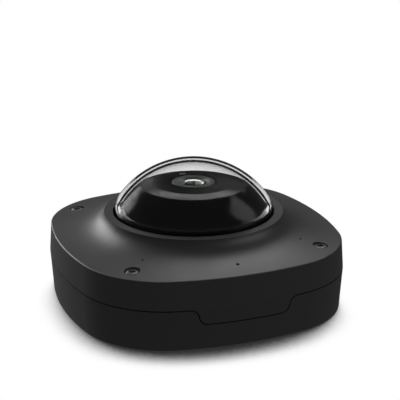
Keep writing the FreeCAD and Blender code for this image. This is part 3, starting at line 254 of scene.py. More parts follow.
floor_mesh = bpy.data.meshes.new("floor")
floor_mesh.from_pydata(
    [
        (-floor_reach, -floor_reach, 0),
        (floor_reach, -floor_reach, 0),
        (floor_reach, floor_reach, 0),
        (-floor_reach, floor_reach, 0),
    ],
    [],
    [(0, 1, 2, 3)],
)
floor = bpy.data.objects.new("floor", floor_mesh)
bpy.context.scene.collection.objects.link(floor)
floor.location.z = -floor_sink

floor_paper = bpy.data.materials.new("floor_paper")
floor_paper.use_nodes = True
paper = floor_paper.node_tree
paper.nodes.clear()
# Painted shadow: the table's glow to the camera fades where the object is near, by ambient occlusion round a
# normal that leans away from the camera.
painted_shadow_occlusion = paper.nodes.new("ShaderNodeAmbientOcclusion")
painted_shadow_occlusion.samples = shadow_samples
painted_shadow_occlusion.inputs["Distance"].default_value = shadow_reach
shadow_way = paper.nodes.new("ShaderNodeCombineXYZ")
for axis, part in zip("XYZ", (-heading(view_azimuth, 0) * shadow_lean + Vector((0, 0, 1))).normalized()):
    shadow_way.inputs[axis].default_value = part
paper.links.new(shadow_way.outputs["Vector"], painted_shadow_occlusion.inputs["Normal"])
shadow_fade = paper.nodes.new("ShaderNodeMapRange")
shadow_fade.interpolation_type = "SMOOTHSTEP"
shadow_fade.inputs["From Min"].default_value = shadow_core
shadow_fade.inputs["From Max"].default_value = shadow_rim
shadow_fade.inputs["To Min"].default_value = shadow_level
shadow_fade.inputs["To Max"].default_value = 1.0
paper.links.new(painted_shadow_occlusion.outputs["AO"], shadow_fade.inputs["Value"])
paper_with_painted_shadow = paper.nodes.new("ShaderNodeEmission")
paper.links.new(shadow_fade.outputs["Result"], paper_with_painted_shadow.inputs["Strength"])


def paper_glow(level):
    glow = paper.nodes.new("ShaderNodeEmission")
    glow.inputs["Strength"].default_value = level
    return glow.outputs["Emission"]


paper_rays, paper_straight, paper_in_wall = dome_rays(paper)[:3]
paper_place = paper.nodes.new("ShaderNodeNewGeometry").outputs["Position"]
paper_depth = dot_with(paper, paper_place, -heading(view_azimuth, 0))
paper_ahead = calculate(paper, "GREATER_THAN", paper_depth, table_behind)
paper_ahead = calculate(paper, "MULTIPLY", paper_ahead, paper_in_wall)
paper_light = mix_by(paper, paper_ahead, paper_glow(table_mirror), paper_glow(seen_level))
paper_light = mix_by(paper, paper_straight, paper_light, paper_glow(through_level))
paper_light = mix_by(paper, paper_rays.outputs["Is Camera Ray"], paper_light, paper_with_painted_shadow.outputs["Emission"])
paper_out = paper.nodes.new("ShaderNodeOutputMaterial")
paper.links.new(paper_light, paper_out.inputs["Surface"])
floor_mesh.materials.append(floor_paper)

# Base housing and top cover
# Two moulded shells in one matte anthracite paint with a fine texture. The cover sits on the tray with a
# thin shadow gap, and a tab of it drops into the tray's front wall.


def fine_grain():
    """Height and mottle of a moulded or painted surface, at a scale given in grains per metre."""
    cloud_share = 0.02
    group = bpy.data.node_groups.new("fine_grain", "ShaderNodeTree")
    group.interface.new_socket("Scale", in_out="INPUT", socket_type="NodeSocketFloat")
    group.interface.new_socket("Height", in_out="OUTPUT", socket_type="NodeSocketFloat")
    group.interface.new_socket("Mottle", in_out="OUTPUT", socket_type="NodeSocketFloat")
    entry = group.nodes.new("NodeGroupInput")
    leave = group.nodes.new("NodeGroupOutput")
    place = group.nodes.new("ShaderNodeTexCoord")
    grain = group.nodes.new("ShaderNodeTexNoise")
    grain.inputs["Detail"].default_value = 3
    grain.inputs["Roughness"].default_value = 0.6
    cloud = group.nodes.new("ShaderNodeTexNoise")
    cloud.inputs["Detail"].default_value = 5
    coarse = calculate(group, "MULTIPLY", entry.outputs["Scale"], cloud_share)
    group.links.new(entry.outputs["Scale"], grain.inputs["Scale"])
    group.links.new(coarse, cloud.inputs["Scale"])
    group.links.new(place.outputs["Object"], grain.inputs["Vector"])
    group.links.new(place.outputs["Object"], cloud.inputs["Vector"])
    group.links.new(grain.outputs["Fac"], leave.inputs["Height"])
    group.links.new(cloud.outputs["Fac"], leave.inputs["Mottle"])
    return group


def worn_edge():
    """A mask that rises from 0 along sharp outer edges, broken up by noise, over a width in metres."""
    worn_width = 0.0004
    flat_alike = 0.995
    sharp_alike = 0.85
    chip_scale = 900
    group = bpy.data.node_groups.new("worn_edge", "ShaderNodeTree")
    width = group.interface.new_socket("Width", in_out="INPUT", socket_type="NodeSocketFloat")
    width.default_value = worn_width
    group.interface.new_socket("Mask", in_out="OUTPUT", socket_type="NodeSocketFloat")
    entry = group.nodes.new("NodeGroupInput")
    leave = group.nodes.new("NodeGroupOutput")
    bevel = group.nodes.new("ShaderNodeBevel")
    bevel.samples = 4
    face = group.nodes.new("ShaderNodeNewGeometry")
    alike = group.nodes.new("ShaderNodeVectorMath")
    alike.operation = "DOT_PRODUCT"
    rise = group.nodes.new("ShaderNodeMapRange")
    rise.inputs["From Min"].default_value = flat_alike
    rise.inputs["From Max"].default_value = sharp_alike
    place = group.nodes.new("ShaderNodeTexCoord")
    chips = group.nodes.new("ShaderNodeTexNoise")
    chips.inputs["Scale"].default_value = chip_scale
    group.links.new(entry.outputs["Width"], bevel.inputs["Radius"])
    group.links.new(bevel.outputs["Normal"], alike.inputs[0])
    group.links.new(face.outputs["Normal"], alike.inputs[1])
    group.links.new(alike.outputs["Value"], rise.inputs["Value"])
    group.links.new(place.outputs["Object"], chips.inputs["Vector"])
    broken = calculate(group, "MULTIPLY", rise.outputs["Result"], chips.outputs["Fac"])
    group.links.new(broken, leave.inputs["Mask"])
    return group


grain_group = fine_grain()
edge_group = worn_edge()


def mix_colour(tree, factor, plain, chosen):
    """A colour between two, each a tuple or a socket."""
    mix = tree.nodes.new("ShaderNodeMix")
    mix.data_type = "RGBA"
    tree.links.new(factor, mix.inputs["Factor"])
    for name, colour in (("A", plain), ("B", chosen)):
        if isinstance(colour, tuple):
            mix.inputs[name].default_value = (*colour, 1)
        else:
            tree.links.new(colour, mix.inputs[name])
    return mix.outputs["Result"]


def shaded(colour, share):
    return tuple(min(1.0, level * share) for level in colour)


worn_share = 2.2
worn_lift = 0.02


def finish(name, colour, roughness, grain, depth, spread=0.06, metal=0.0, wear=0.25, worn=None, coat=0.0,
           reflect=0.5):
    """A surface with grain in its height, cloudy colour and roughness, and paler worn edges."""
    material = bpy.data.materials.new(name)
    material.use_nodes = True
    tree = material.node_tree
    shader = tree.nodes["Principled BSDF"]
    shader.inputs["Metallic"].default_value = metal
    shader.inputs["Coat Weight"].default_value = coat
    shader.inputs["Specular IOR Level"].default_value = reflect
    texture = tree.nodes.new("ShaderNodeGroup")
    texture.node_tree = grain_group
    texture.inputs["Scale"].default_value = grain
    dark, pale = shaded(colour, 1 - spread * 2), shaded(colour, 1 + spread * 2)
    tint = mix_colour(tree, texture.outputs["Mottle"], dark, pale)
    edges = tree.nodes.new("ShaderNodeGroup")
    edges.node_tree = edge_group
    share = calculate(tree, "MULTIPLY", edges.outputs["Mask"], wear)
    worn = worn or tuple(min(1.0, level * worn_share + worn_lift) for level in colour)
    tree.links.new(mix_colour(tree, share, tint, worn), shader.inputs["Base Color"])
    gloss = tree.nodes.new("ShaderNodeMapRange")
    gloss.inputs["To Min"].default_value = roughness - spread
    gloss.inputs["To Max"].default_value = roughness + spread
    tree.links.new(texture.outputs["Mottle"], gloss.inputs["Value"])
    tree.links.new(gloss.outputs["Result"], shader.inputs["Roughness"])
    bump = tree.nodes.new("ShaderNodeBump")
    bump.inputs["Strength"].default_value = 1.0
    bump.inputs["Distance"].default_value = depth
    tree.links.new(texture.outputs["Height"], bump.inputs["Height"])
    tree.links.new(bump.outputs["Normal"], shader.inputs["Normal"])
    return material


def dress(material, *names):
    for name in names:
        mesh = nodes[name].data
        mesh.materials.clear()
        mesh.materials.append(material)


housing_paint = finish("housing_paint", (0.060, 0.061, 0.062), 0.38, 4000, 0.000008, spread=0.04, wear=0.15,
                       reflect=0.95)
dress(housing_paint, "base_housing", "top_cover")

# Seals and rubber parts
# The cover's seal, the dome's gasket and the microphones' boots are black silicone cord and sheet. The cable
# grommet and the pad under the heat sink are softer, with a dull dusty bloom.

rubber_seal = finish("rubber_seal", (0.018, 0.018, 0.019), 0.62, 2500, 0.00002, spread=0.08, wear=0.1)
grey_rubber = finish("grey_rubber", (0.09, 0.093, 0.1), 0.7, 2200, 0.00003, spread=0.1, wear=0.1)
dress(rubber_seal, "cover_seal", "dome_gasket", "mic_boots")
dress(grey_rubber, "cable_grommet", "thermal_pad")

# Clamp ring, module bracket, lens holder, switch and screw retainers
# Black glass-filled mouldings: the ring that presses the dome into the cover, the bracket that carries the
# camera module over the main board, the lens's holder, the reset switch, and the washers that hold the
# cover's screws.

black_plastic = finish("black_plastic", (0.022, 0.022, 0.024), 0.5, 3000, 0.00002, wear=0.3)
dress(black_plastic, "dome_clamp_ring", "module_bracket", "screw_retainers", "lens_holder", "reset_switch")

# Tips of the microphone boots
# A short black rubber tip in each of the cover's four microphone holes, just below the roof, nearly black
# and hardly reflecting: it stands for the boot's tip and is partly painted shade of the dark hole.

port_place = 0.0432
port_radius = 0.00067
port_top = 0.0390
port_depth = 0.0006
form_steps = 48
sharp_crease = 35


def ring_stack(rings, place, steps=form_steps):
    """Corners and faces of a closed form through rings, each a height and a radius, plain or by angle."""
    corners = []
    for height, radius in rings:
        for i in range(steps):
            turn = 2 * math.pi * i / steps
            reach = radius(turn) if callable(radius) else radius
            corners.append((place[0] + reach * math.cos(turn), place[1] + reach * math.sin(turn), height))
    faces = [tuple(reversed(range(steps)))]
    for ring in range(len(rings) - 1):
        first = ring * steps
        for i in range(steps):
            after = (i + 1) % steps
            faces.append((first + i, first + after, first + steps + after, first + steps + i))
    last = (len(rings) - 1) * steps
    faces.append(tuple(range(last, last + steps)))
    return corners, faces


def block_form(low, high):
    """Corners and faces of a block between two corners."""
    corners = [(x, y, z) for z in (low[2], high[2]) for y in (low[1], high[1]) for x in (low[0], high[0])]
    faces = [(0, 2, 3, 1), (4, 5, 7, 6), (0, 1, 5, 4), (2, 6, 7, 3), (0, 4, 6, 2), (1, 3, 7, 5)]
    return corners, faces


def make_piece(name, forms, material, body, bevel=0.0):
    """One mesh of several closed forms, which rides on a body. Only its sharp edges stay sharp."""
    corners, faces = [], []
    for form_corners, form_faces in forms:
        start = len(corners)
        corners.extend(form_corners)
        faces.extend(tuple(start + i for i in face) for face in form_faces)
    mesh = bpy.data.meshes.new(name)
    mesh.from_pydata(corners, [], faces)
    solid = bmesh.new()
    solid.from_mesh(mesh)
    bmesh.ops.recalc_face_normals(solid, faces=solid.faces)
    solid.to_mesh(mesh)
    solid.free()
    mesh.polygons.foreach_set("use_smooth", [True] * len(mesh.polygons))
    mesh.set_sharp_from_angle(angle=math.radians(sharp_crease))
    mesh.materials.append(material)
    piece = bpy.data.objects.new(name, mesh)
    bpy.context.scene.collection.objects.link(piece)
    if bevel:
        rounded = piece.modifiers.new("rounded", "BEVEL")
        rounded.width = bevel
        rounded.segments = 2
        rounded.limit_method = "ANGLE"
    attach(piece, body)
    return piece


def square_places(reach):
    """The corners of a square round the origin, by half its side."""
    return [(x, y) for x in (reach, -reach) for y in (reach, -reach)]


# Painted shade: the tips are near-black and hardly reflect, so that the holes look dark.
port_painted_shade = finish("port_painted_shade", (0.002, 0.002, 0.002), 0.85, 2500, 0.00001, wear=0.0, reflect=0.1)
port_rings = [(port_top - port_depth, port_radius), (port_top, port_radius)]
port_tips = [ring_stack(port_rings, place) for place in square_places(port_place)]
make_piece("boot_tips_painted_shade", port_tips, port_painted_shade, "cover")

# Cover screws
# Four captive steel screws, blackened, with a slightly domed head in a round recess and a six-lobe drive.
# Their shanks are threaded from the retaining washer down. The heads stand a little higher than the CAD
# ones.

lobe_count = 6
drive_reach = 0.00215
drive_wave = 0.16
drive_depth = 0.0020
head_rise = 0.0010
head_height = 0.0026
head_radius = 0.0037
head_face = 0.0034
head_crown = 0.0004
crown_line = ((0.25, 0.78), (0.6, 0.90))
edge_break = 0.0001
shank_radius = 0.0020
plain_shank = 0.0125
thread_pitch = 0.0007
thread_depth = 0.00035
thread_end = 0.0008
point_length = 0.0005
point_depth = 2.5
rings_per_pitch = 6


def six_lobes(turn):
    return drive_reach * (1 + drive_wave * math.cos(lobe_count * turn)) / (1 + drive_wave)


def thread(bottom, top, radius, pitch, depth):
    """Rings of a screw thread, from the top down."""
    rings = []
    for step in range(int((top - bottom) / pitch * rings_per_pitch) + 1):
        height = top - step * pitch / rings_per_pitch

        def flank(turn, height=height):
            share = (height / pitch + turn / (2 * math.pi)) % 1
            return radius - depth * abs(2 * share - 1)

        rings.append((height, flank))
    return rings


screw_low, screw_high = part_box("cover_screws")
head_top = screw_high.z + head_rise
head_bottom = screw_high.z - head_height
shank_bottom = head_bottom - plain_shank
thread_top = shank_bottom - 2 * edge_break
cover_screw_rings = [
    (head_top - drive_depth, six_lobes),
    (head_top - edge_break, six_lobes),
    (head_top, lambda turn: six_lobes(turn) + edge_break),
    *((head_top - head_crown * drop, head_face * reach) for drop, reach in crown_line),
    (head_top - head_crown, head_face - edge_break),
    (head_top - head_crown - 2 * edge_break, head_face),
    (screw_high.z, head_face),
    (screw_high.z, head_radius),
    (head_bottom, head_radius),
    (head_bottom, shank_radius),
    (shank_bottom, shank_radius),
    *thread(screw_low.z + thread_end, thread_top, shank_radius, thread_pitch, thread_depth),
    (screw_low.z + point_length, shank_radius - thread_depth),
    (screw_low.z, shank_radius - point_depth * thread_depth),
]
black_steel = finish("black_steel", (0.21, 0.21, 0.215), 0.36, 5000, 0.000004, metal=0.3, wear=0.5,
                     worn=(0.4, 0.4, 0.4))
cover_places = square_places(screw_high.x - head_radius)
cover_forms = [ring_stack(cover_screw_rings, place) for place in cover_places]
cover_screws = make_piece("cover_screws_turned", cover_forms, black_steel, "cover")
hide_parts("cover_screws")
painted.objects.link(cover_screws)

# Small screws
# Bright pan-head screws with a cross recess hold the boards, the bracket, the liner and the clamp ring. The
# clamp ring's point upwards. Each kind is its head's radius and height, its shank's radius and its pitch.

small_head = 0.0027
fine_head = 0.0018
small_screw = (small_head, 0.0018, 0.00145, 0.0006)
fine_screw = (fine_head, 0.0012, 0.0010, 0.0004)
cross_reach = 0.62
cross_width = 0.16
cross_depth = 0.55
cross_lip = 0.00005
least_slope = 0.01
pan_line = ((1.0, 0.74), (0.86, 0.88), (0.55, 0.98), (0.0, 1.0))
pan_steps = 32
pan_thread_share = 0.22
pan_thread_start = 0.0002
pan_point = 0.0004
pan_point_share = 0.5
clamp_count = 8


def cross(head):
    """The outline of a cross recess in a head of some radius."""

    def radius(turn):
        folded = abs((turn + math.pi / 4) % (math.pi / 2) - math.pi / 4)
        return head * min(cross_reach, cross_width / max(math.sin(folded), least_slope))

    return radius


def pan_screw(place, seat, length, sizes, way=1):
    """A pan-head screw that stands on a seat with its shank below it, or above it where way is -1."""
    head, top, shank, pitch = sizes
    levels = [
        (top * (1 - cross_depth), cross(head)),
        (top - cross_lip, cross(head)),
        *((top * height, head * radius) for height, radius in pan_line),
        (0.0, shank),
        *thread(pan_point - length, -pan_thread_start, shank, pitch, pan_thread_share * shank),
        (-length, shank * pan_point_share),
    ]
    return ring_stack([(seat + way * height, radius) for height, radius in levels], place, pan_steps)


screw_steel = finish("screw_steel", (0.5, 0.5, 0.49), 0.3, 6000, 0.000003, metal=1.0, wear=0.2,
                     worn=(0.7, 0.7, 0.7))


def screw_set(node, places, sizes):
    """Screws for a node's places, which the node's own box gives the heights of."""
    low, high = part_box(node)
    seat = high.z - sizes[1]
    forms = [pan_screw(place, seat, seat - low.z, sizes) for place in places]
    piece = make_piece(node + "_turned", forms, screw_steel, "base")
    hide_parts(node)


def outer_place(node, head):
    """How far out the screws of a node stand, from its box."""
    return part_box(node)[1].x - head


board_screw_low, board_screw_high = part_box("board_screws")
board_x = board_screw_high.x - small_head
board_rows = (board_screw_high.y - small_head, board_screw_low.y + small_head)
board_places = [(x, y) for x in (board_x, -board_x) for y in board_rows]
screw_set("board_screws", board_places, small_screw)
screw_set("bracket_screws", square_places(outer_place("bracket_screws", small_head)), small_screw)
screw_set("sensor_screws", square_places(outer_place("sensor_screws", fine_head)), fine_screw)
ear_reach = outer_place("liner_screws", fine_head)
ear_places = [(ear_reach, 0), (0, ear_reach), (-ear_reach, 0), (0, -ear_reach)]
screw_set("liner_screws", ear_places, fine_screw)

clamp_low, clamp_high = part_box("clamp_screws")
clamp_circle = clamp_high.x - fine_head
clamp_seat = clamp_low.z + fine_screw[1]
clamp_forms = []
for i in range(clamp_count):
    turn = 2 * math.pi * i / clamp_count
    place = (clamp_circle * math.cos(turn), clamp_circle * math.sin(turn))
    clamp_forms.append(pan_screw(place, clamp_seat, clamp_high.z - clamp_seat, fine_screw, way=-1))
clamp_screws = make_piece("clamp_screws_turned", clamp_forms, screw_steel, "cover")
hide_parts("clamp_screws")

# Main, microphone and sensor boards
# Glass-epoxy boards under green solder resist, in which the copper traces show as paler lines, with small
# chip parts soldered on the main board.

trace_rows = 420
cross_trace_rows = 514.25
trace_width = 0.02
trace_length = 3.5
trace_pitch = 0.5
part_length = 0.0020
part_width = 0.0012
part_height = 0.0007
part_margin = 0.0022
part_pitch = 0.0034
part_bevel = 0.00006
part_chance = 0.62
turned_chance = 0.5
solder_half = 0.0004
solder_out = 0.00004
socket_x = -0.020
socket_room = (0.0012, 0.0069)
pillar = 0.02998
pillar_room = (0.0042, 0.0042)
mic_socket = 0.040
mic_socket_room = (0.003, 0.0015)


def board_finish():
    """Solder resist over copper traces that run along the board's two directions."""
    material = finish("circuit_board", (0.008, 0.07, 0.035), 0.32, 3500, 0.000004, wear=0.3, coat=0.3,
                      worn=(0.2, 0.16, 0.06))
    tree = material.node_tree
    shader = tree.nodes["Principled BSDF"]
    place = tree.nodes.new("ShaderNodeTexCoord")
    traces = []
    for turn, rows in ((0.0, trace_rows), (math.pi / 2, cross_trace_rows)):
        turned = tree.nodes.new("ShaderNodeMapping")
        turned.inputs["Rotation"].default_value = (0, 0, turn)
        lines = tree.nodes.new("ShaderNodeTexBrick")
        lines.inputs["Color1"].default_value = (0, 0, 0, 1)
        lines.inputs["Color2"].default_value = (0, 0, 0, 1)
        lines.inputs["Mortar"].default_value = (1, 1, 1, 1)
        lines.inputs["Scale"].default_value = rows
        lines.inputs["Mortar Size"].default_value = trace_width
        lines.inputs["Brick Width"].default_value = trace_length
        lines.inputs["Row Height"].default_value = trace_pitch
        tree.links.new(place.outputs["Object"], turned.inputs["Vector"])
        tree.links.new(turned.outputs["Vector"], lines.inputs["Vector"])
        traces.append(lines.outputs["Color"])
    either = calculate(tree, "MAXIMUM", *traces)
    resist = shader.inputs["Base Color"].links[0].from_socket
    tree.links.new(mix_colour(tree, either, resist, (0.03, 0.17, 0.07)), shader.inputs["Base Color"])
    return material


dress(board_finish(), "main_board", "mic_board", "sensor_board")
ceramic = finish("chip_ceramic", (0.16, 0.1, 0.06), 0.45, 5000, 0.000004, wear=0.2)
solder = finish("solder", (0.62, 0.62, 0.6), 0.28, 5000, 0.000006, metal=1.0, wear=0.1)
main_low, main_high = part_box("main_board")
board_top = main_high.z


def room(x, y, reach):
    """The corners of what a thing takes of the board, by its half sizes."""
    return Vector((x - reach[0], y - reach[1], 0)), Vector((x + reach[0], y + reach[1], 0))


standing_on_board = [
    "heat_sink", "ethernet_jack", "power_transformer", "capacitors", "memory_chips", "terminal_block",
    "card_slot", "reset_switch",
]
taken = [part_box(node) for node in standing_on_board]
taken.append(room(socket_x, 0.0, socket_room))
taken.extend(room(x, -pillar, pillar_room) for x in (pillar, -pillar))
taken.extend(room(x, y, (small_head, small_head)) for x, y in board_places)
taken.append(room(mic_socket, -mic_socket, mic_socket_room))


def free_place(x, y):
    """Whether a small part at x, y keeps clear of all that stands on the board."""
    return not any(
        low.x - part_margin < x < high.x + part_margin and low.y - part_margin < y < high.y + part_margin
        for low, high in taken
    )


def chip_part(x, y, half_x, half_y, top):
    """The body of a small part and its two soldered ends, which stand at the ends of its longer side."""
    body = block_form((x - half_x, y - half_y, board_top), (x + half_x, y + half_y, top))
    along = half_x > half_y
    ends = []
    for side in (-1, 1):
        if along:
            shift_x, shift_y = side * (half_x - solder_half / 4), 0
            end_x, end_y = solder_half, half_y + solder_out
        else:
            shift_x, shift_y = 0, side * (half_y - solder_half / 4)
            end_x, end_y = half_x + solder_out, solder_half
        ends.append(block_form(
            (x + shift_x - end_x, y + shift_y - end_y, board_top),
            (x + shift_x + end_x, y + shift_y + end_y, top + solder_out),
        ))
    return body, ends


random.seed(7)
part_bodies, part_ends = [], []
row_y = main_low.y + part_pitch
while row_y < main_high.y - part_pitch / 2:
    row_x = main_low.x + part_pitch
    while row_x < main_high.x - part_pitch / 2:
        if free_place(row_x, row_y) and random.random() < part_chance:
            along = random.random() < turned_chance
            half_x, half_y = (part_length / 2, part_width / 2) if along else (part_width / 2, part_length / 2)
            top = board_top + part_height * random.choice((0.6, 0.8, 1.0))
            body, ends = chip_part(row_x, row_y, half_x, half_y, top)
            part_bodies.append(body)
            part_ends.extend(ends)
        row_x += part_pitch
    row_y += part_pitch
make_piece("board_chip_parts", part_bodies, ceramic, "base", bevel=part_bevel)
make_piece("board_chip_ends", part_ends, solder, "base", bevel=part_bevel)

# Processor, memory, image sensor and heat sink
# Moulded black chips. The memory chips have a white dot at their first corner, and an extruded aluminium
# heat sink presses on the processor through a grey pad. The transformer has the same black moulding.

memory_side = 0.011
dot_inset = 0.0012
dot_radius = 0.0004
dot_depth = 0.0001
dot_out = 0.00002
dot_steps = 20
chip_black = finish("chip_black", (0.02, 0.02, 0.022), 0.42, 6000, 0.00001, wear=0.2)
dress(chip_black, "processor", "memory_chips", "image_sensor", "power_transformer")
bare_aluminium = finish("bare_aluminium", (0.55, 0.56, 0.58), 0.36, 2500, 0.000008, metal=1.0, wear=0.2,
                        worn=(0.75, 0.75, 0.77))
dress(bare_aluminium, "heat_sink")
memory_low, memory_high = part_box("memory_chips")
dot_rings = [(memory_high.z - dot_depth, dot_radius), (memory_high.z + dot_out, dot_radius)]
chip_dots = [
    ring_stack(dot_rings, (left + dot_inset, memory_low.y + dot_inset), dot_steps)
    for left in (memory_low.x, memory_high.x - memory_side)
]
white_ink = finish("white_ink", (0.45, 0.45, 0.44), 0.6, 4000, 0.000004, wear=0.1)
make_piece("chip_dots", chip_dots, white_ink, "base")

# Network socket, card slot and microphone cans
# Stampings of tinned steel. The network socket has eight gilt contacts over its floor.

contact_count = 8
contact_pitch = 0.00102
contact_width = 0.0003
contact_height = 0.0003
contact_rise = 0.00205
contact_back = 0.0125
contact_front = 0.0035
contact_bevel = 0.00005
tinned_steel = finish("tinned_steel", (0.56, 0.56, 0.54), 0.27, 4500, 0.000004, metal=1.0, wear=0.2,
                      worn=(0.75, 0.75, 0.72))
dress(tinned_steel, "ethernet_jack", "card_slot", "microphones")
gilt = finish("gilt_contact", (0.75, 0.52, 0.2), 0.25, 5000, 0.000003, metal=1.0, wear=0.1)
jack_low, jack_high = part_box("ethernet_jack")
plug_floor = jack_low.z + contact_rise
contact_forms = []
for i in range(contact_count):
    x = (i - (contact_count - 1) / 2) * contact_pitch
    contact_forms.append(block_form(
        (x - contact_width / 2, jack_high.y - contact_back, plug_floor),
        (x + contact_width / 2, jack_high.y - contact_front, plug_floor + contact_height),
    ))
make_piece("network_contacts", contact_forms, gilt, "base", bevel=contact_bevel)

# Power transformer's tape
# Yellow tape over the winding, just proud of the black moulding, which shows above and below it.

tape_inset = 0.00114
tape_above_foot = 0.0042
tape_below_top = 0.0014
tape_bevel = 0.0003
tape = finish("winding_tape", (0.62, 0.42, 0.05), 0.4, 1800, 0.00001, wear=0.15)
winding_low, winding_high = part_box("power_transformer")
tape_form = block_form(
    (winding_low.x + tape_inset, winding_low.y + tape_inset, winding_low.z + tape_above_foot),
    (winding_high.x - tape_inset, winding_high.y - tape_inset, winding_high.z - tape_below_top),
)
make_piece("transformer_tape", [tape_form], tape, "base", bevel=tape_bevel)

# Capacitors
# Two cans in dark blue sleeves with a pale stripe down one side, under an aluminium top with a raised
# cross.

can_top_rings = ((0.0, 0.00296), (0.00012, 0.00296), (0.00020, 0.0027))
can_top_sink = 0.0003
can_steps = 40
cross_half_length = 0.0018
cross_half_width = 0.0001
cross_rise = 0.00026
stripe_start = -110
stripe_step = 8
stripe_count = 6
stripe_margin = 0.0012
stripe_depth = 0.0001
stripe_out = 0.00004
capacitor_sleeve = finish("capacitor_sleeve", (0.012, 0.02, 0.07), 0.22, 4000, 0.000004, wear=0.2, coat=0.4)
dress(capacitor_sleeve, "capacitors")
sleeve_low, sleeve_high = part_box("capacitors")
sleeve_radius = (sleeve_high.y - sleeve_low.y) / 2
sleeve_y = (sleeve_high.y + sleeve_low.y) / 2


def stripe_form(x):
    """A thin bent strip on the sleeve of the can at x."""
    corners, faces = [], []
    bottom, top = sleeve_low.z + stripe_margin, sleeve_high.z - stripe_margin
    inner, outer = sleeve_radius - stripe_depth, sleeve_radius + stripe_out
    for i in range(stripe_count):
        turn = math.radians(stripe_start + stripe_step * i)
        for reach, height in ((inner, bottom), (outer, bottom), (outer, top), (inner, top)):
            corners.append((x + reach * math.cos(turn), sleeve_y + reach * math.sin(turn), height))
    for i in range(stripe_count - 1):
        for j in range(4):
            faces.append((4 * i + j, 4 * i + (j + 1) % 4, 4 * i + 4 + (j + 1) % 4, 4 * i + 4 + j))
    last = 4 * (stripe_count - 1)
    faces.append((3, 2, 1, 0))
    faces.append((last, last + 1, last + 2, last + 3))
    return corners, faces


can_tops, stripes = [], []
can_top = sleeve_high.z - can_top_sink
for x in (sleeve_low.x + sleeve_radius, sleeve_high.x - sleeve_radius):
    rings = [(can_top + rise, radius) for rise, radius in can_top_rings]
    can_tops.append(ring_stack(rings, (x, sleeve_y), can_steps))
    for half_x, half_y in ((cross_half_length, cross_half_width), (cross_half_width, cross_half_length)):
        can_tops.append(block_form(
            (x - half_x, sleeve_y - half_y, can_top),
            (x + half_x, sleeve_y + half_y, can_top + cross_rise),
        ))
    stripes.append(stripe_form(x))
make_piece("capacitor_tops", can_tops, bare_aluminium, "base")
make_piece("capacitor_stripes", stripes, white_ink, "base")

# Terminal block
# A green moulding for four wires, with a slotted clamp screw over each.

pole_count = 4
pole_screw = 0.00105
pole_slot = 0.00088
slot_slope = 0.2
pole_from_front = 0.0051
pole_sink = 0.0008
pole_height = 0.0012
slot_depth = 0.0003
dimple_depth = 0.0001
dimple_radius = 0.0002
pole_steps = 40
green_plastic = finish("green_plastic", (0.02, 0.2, 0.07), 0.42, 3500, 0.00001, wear=0.3)
dress(green_plastic, "terminal_block")
terminal_low, terminal_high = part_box("terminal_block")
pole_pitch = (terminal_high.x - terminal_low.x) / pole_count


def slotted(turn):
    return pole_screw if abs(math.sin(turn)) > slot_slope else pole_slot


pole_y = terminal_high.y - pole_from_front
pole_top = terminal_high.z - pole_sink
pole_rings = [
    (pole_top - pole_height, pole_screw),
    (pole_top - slot_depth, slotted),
    (pole_top, slotted),
    (pole_top - dimple_depth, dimple_radius),
]
pole_places = [(terminal_low.x + pole_pitch * (i + 0.5), pole_y) for i in range(pole_count)]
pole_forms = [ring_stack(pole_rings, place, pole_steps) for place in pole_places]
make_piece("terminal_clamps", pole_forms, screw_steel, "base")

# Reset button
# A red plunger in the small black switch on the main board.

button_red = finish("button_red", (0.42, 0.02, 0.015), 0.35, 3500, 0.000008, wear=0.3)
dress(button_red, "reset_button")

# Flat cables and their sockets
# Polyimide film with copper strips under it, pushed into white sockets.

strip_scale = 125
white_plastic = finish("white_plastic", (0.62, 0.62, 0.58), 0.45, 3500, 0.00001, wear=0.15)
dress(white_plastic, "cable_sockets")


def film_finish():
    """Amber film over copper strips that run along the cable, which the film shows as darker bands."""
    material = finish("flat_cable", (0.5, 0.24, 0.04), 0.3, 3000, 0.000004, wear=0.1, coat=0.4)
    tree = material.node_tree
    shader = tree.nodes["Principled BSDF"]
    place = tree.nodes.new("ShaderNodeTexCoord")
    bands = tree.nodes.new("ShaderNodeTexWave")
    bands.bands_direction = "Y"
    bands.inputs["Scale"].default_value = strip_scale
    tree.links.new(place.outputs["Object"], bands.inputs["Vector"])
    film = shader.inputs["Base Color"].links[0].from_socket
    banded = mix_colour(tree, bands.outputs["Fac"], film, (0.3, 0.1, 0.02))
    tree.links.new(banded, shader.inputs["Base Color"])
    return material


dress(film_finish(), "sensor_cable", "mic_cable")

# Status light, its pipe and the small lenses
# A small clear lamp on the microphone board stands under a smoked rod that ends just below the cover's
# front pinhole. The filter and the rear lens inside the camera module are plain clear glass.

clear_grain = 900
gloss_spread = 0.4
shadow_share = 0.95


def clear_finish(name, tint, roughness, index):
    """Clear moulded plastic or glass, through which lamps light what is behind it."""
    material = bpy.data.materials.new(name)
    material.use_nodes = True
    tree = material.node_tree
    shader = tree.nodes["Principled BSDF"]
    shader.inputs["Base Color"].default_value = (*tint, 1)
    shader.inputs["IOR"].default_value = index
    shader.inputs["Transmission Weight"].default_value = 1.0
    texture = tree.nodes.new("ShaderNodeGroup")
    texture.node_tree = grain_group
    texture.inputs["Scale"].default_value = clear_grain
    gloss = tree.nodes.new("ShaderNodeMapRange")
    gloss.inputs["To Min"].default_value = roughness * (1 - gloss_spread)
    gloss.inputs["To Max"].default_value = roughness * (1 + gloss_spread)
    tree.links.new(texture.outputs["Mottle"], gloss.inputs["Value"])
    tree.links.new(gloss.outputs["Result"], shader.inputs["Roughness"])
    rays = tree.nodes.new("ShaderNodeLightPath")
    open_way = tree.nodes.new("ShaderNodeBsdfTransparent")
    open_way.inputs["Color"].default_value = (*shaded(tint, shadow_share), 1)
    seen = mix_by(tree, rays.outputs["Is Shadow Ray"], shader.outputs["BSDF"], open_way.outputs["BSDF"])
    tree.links.new(seen, tree.nodes["Material Output"].inputs["Surface"])
    return material


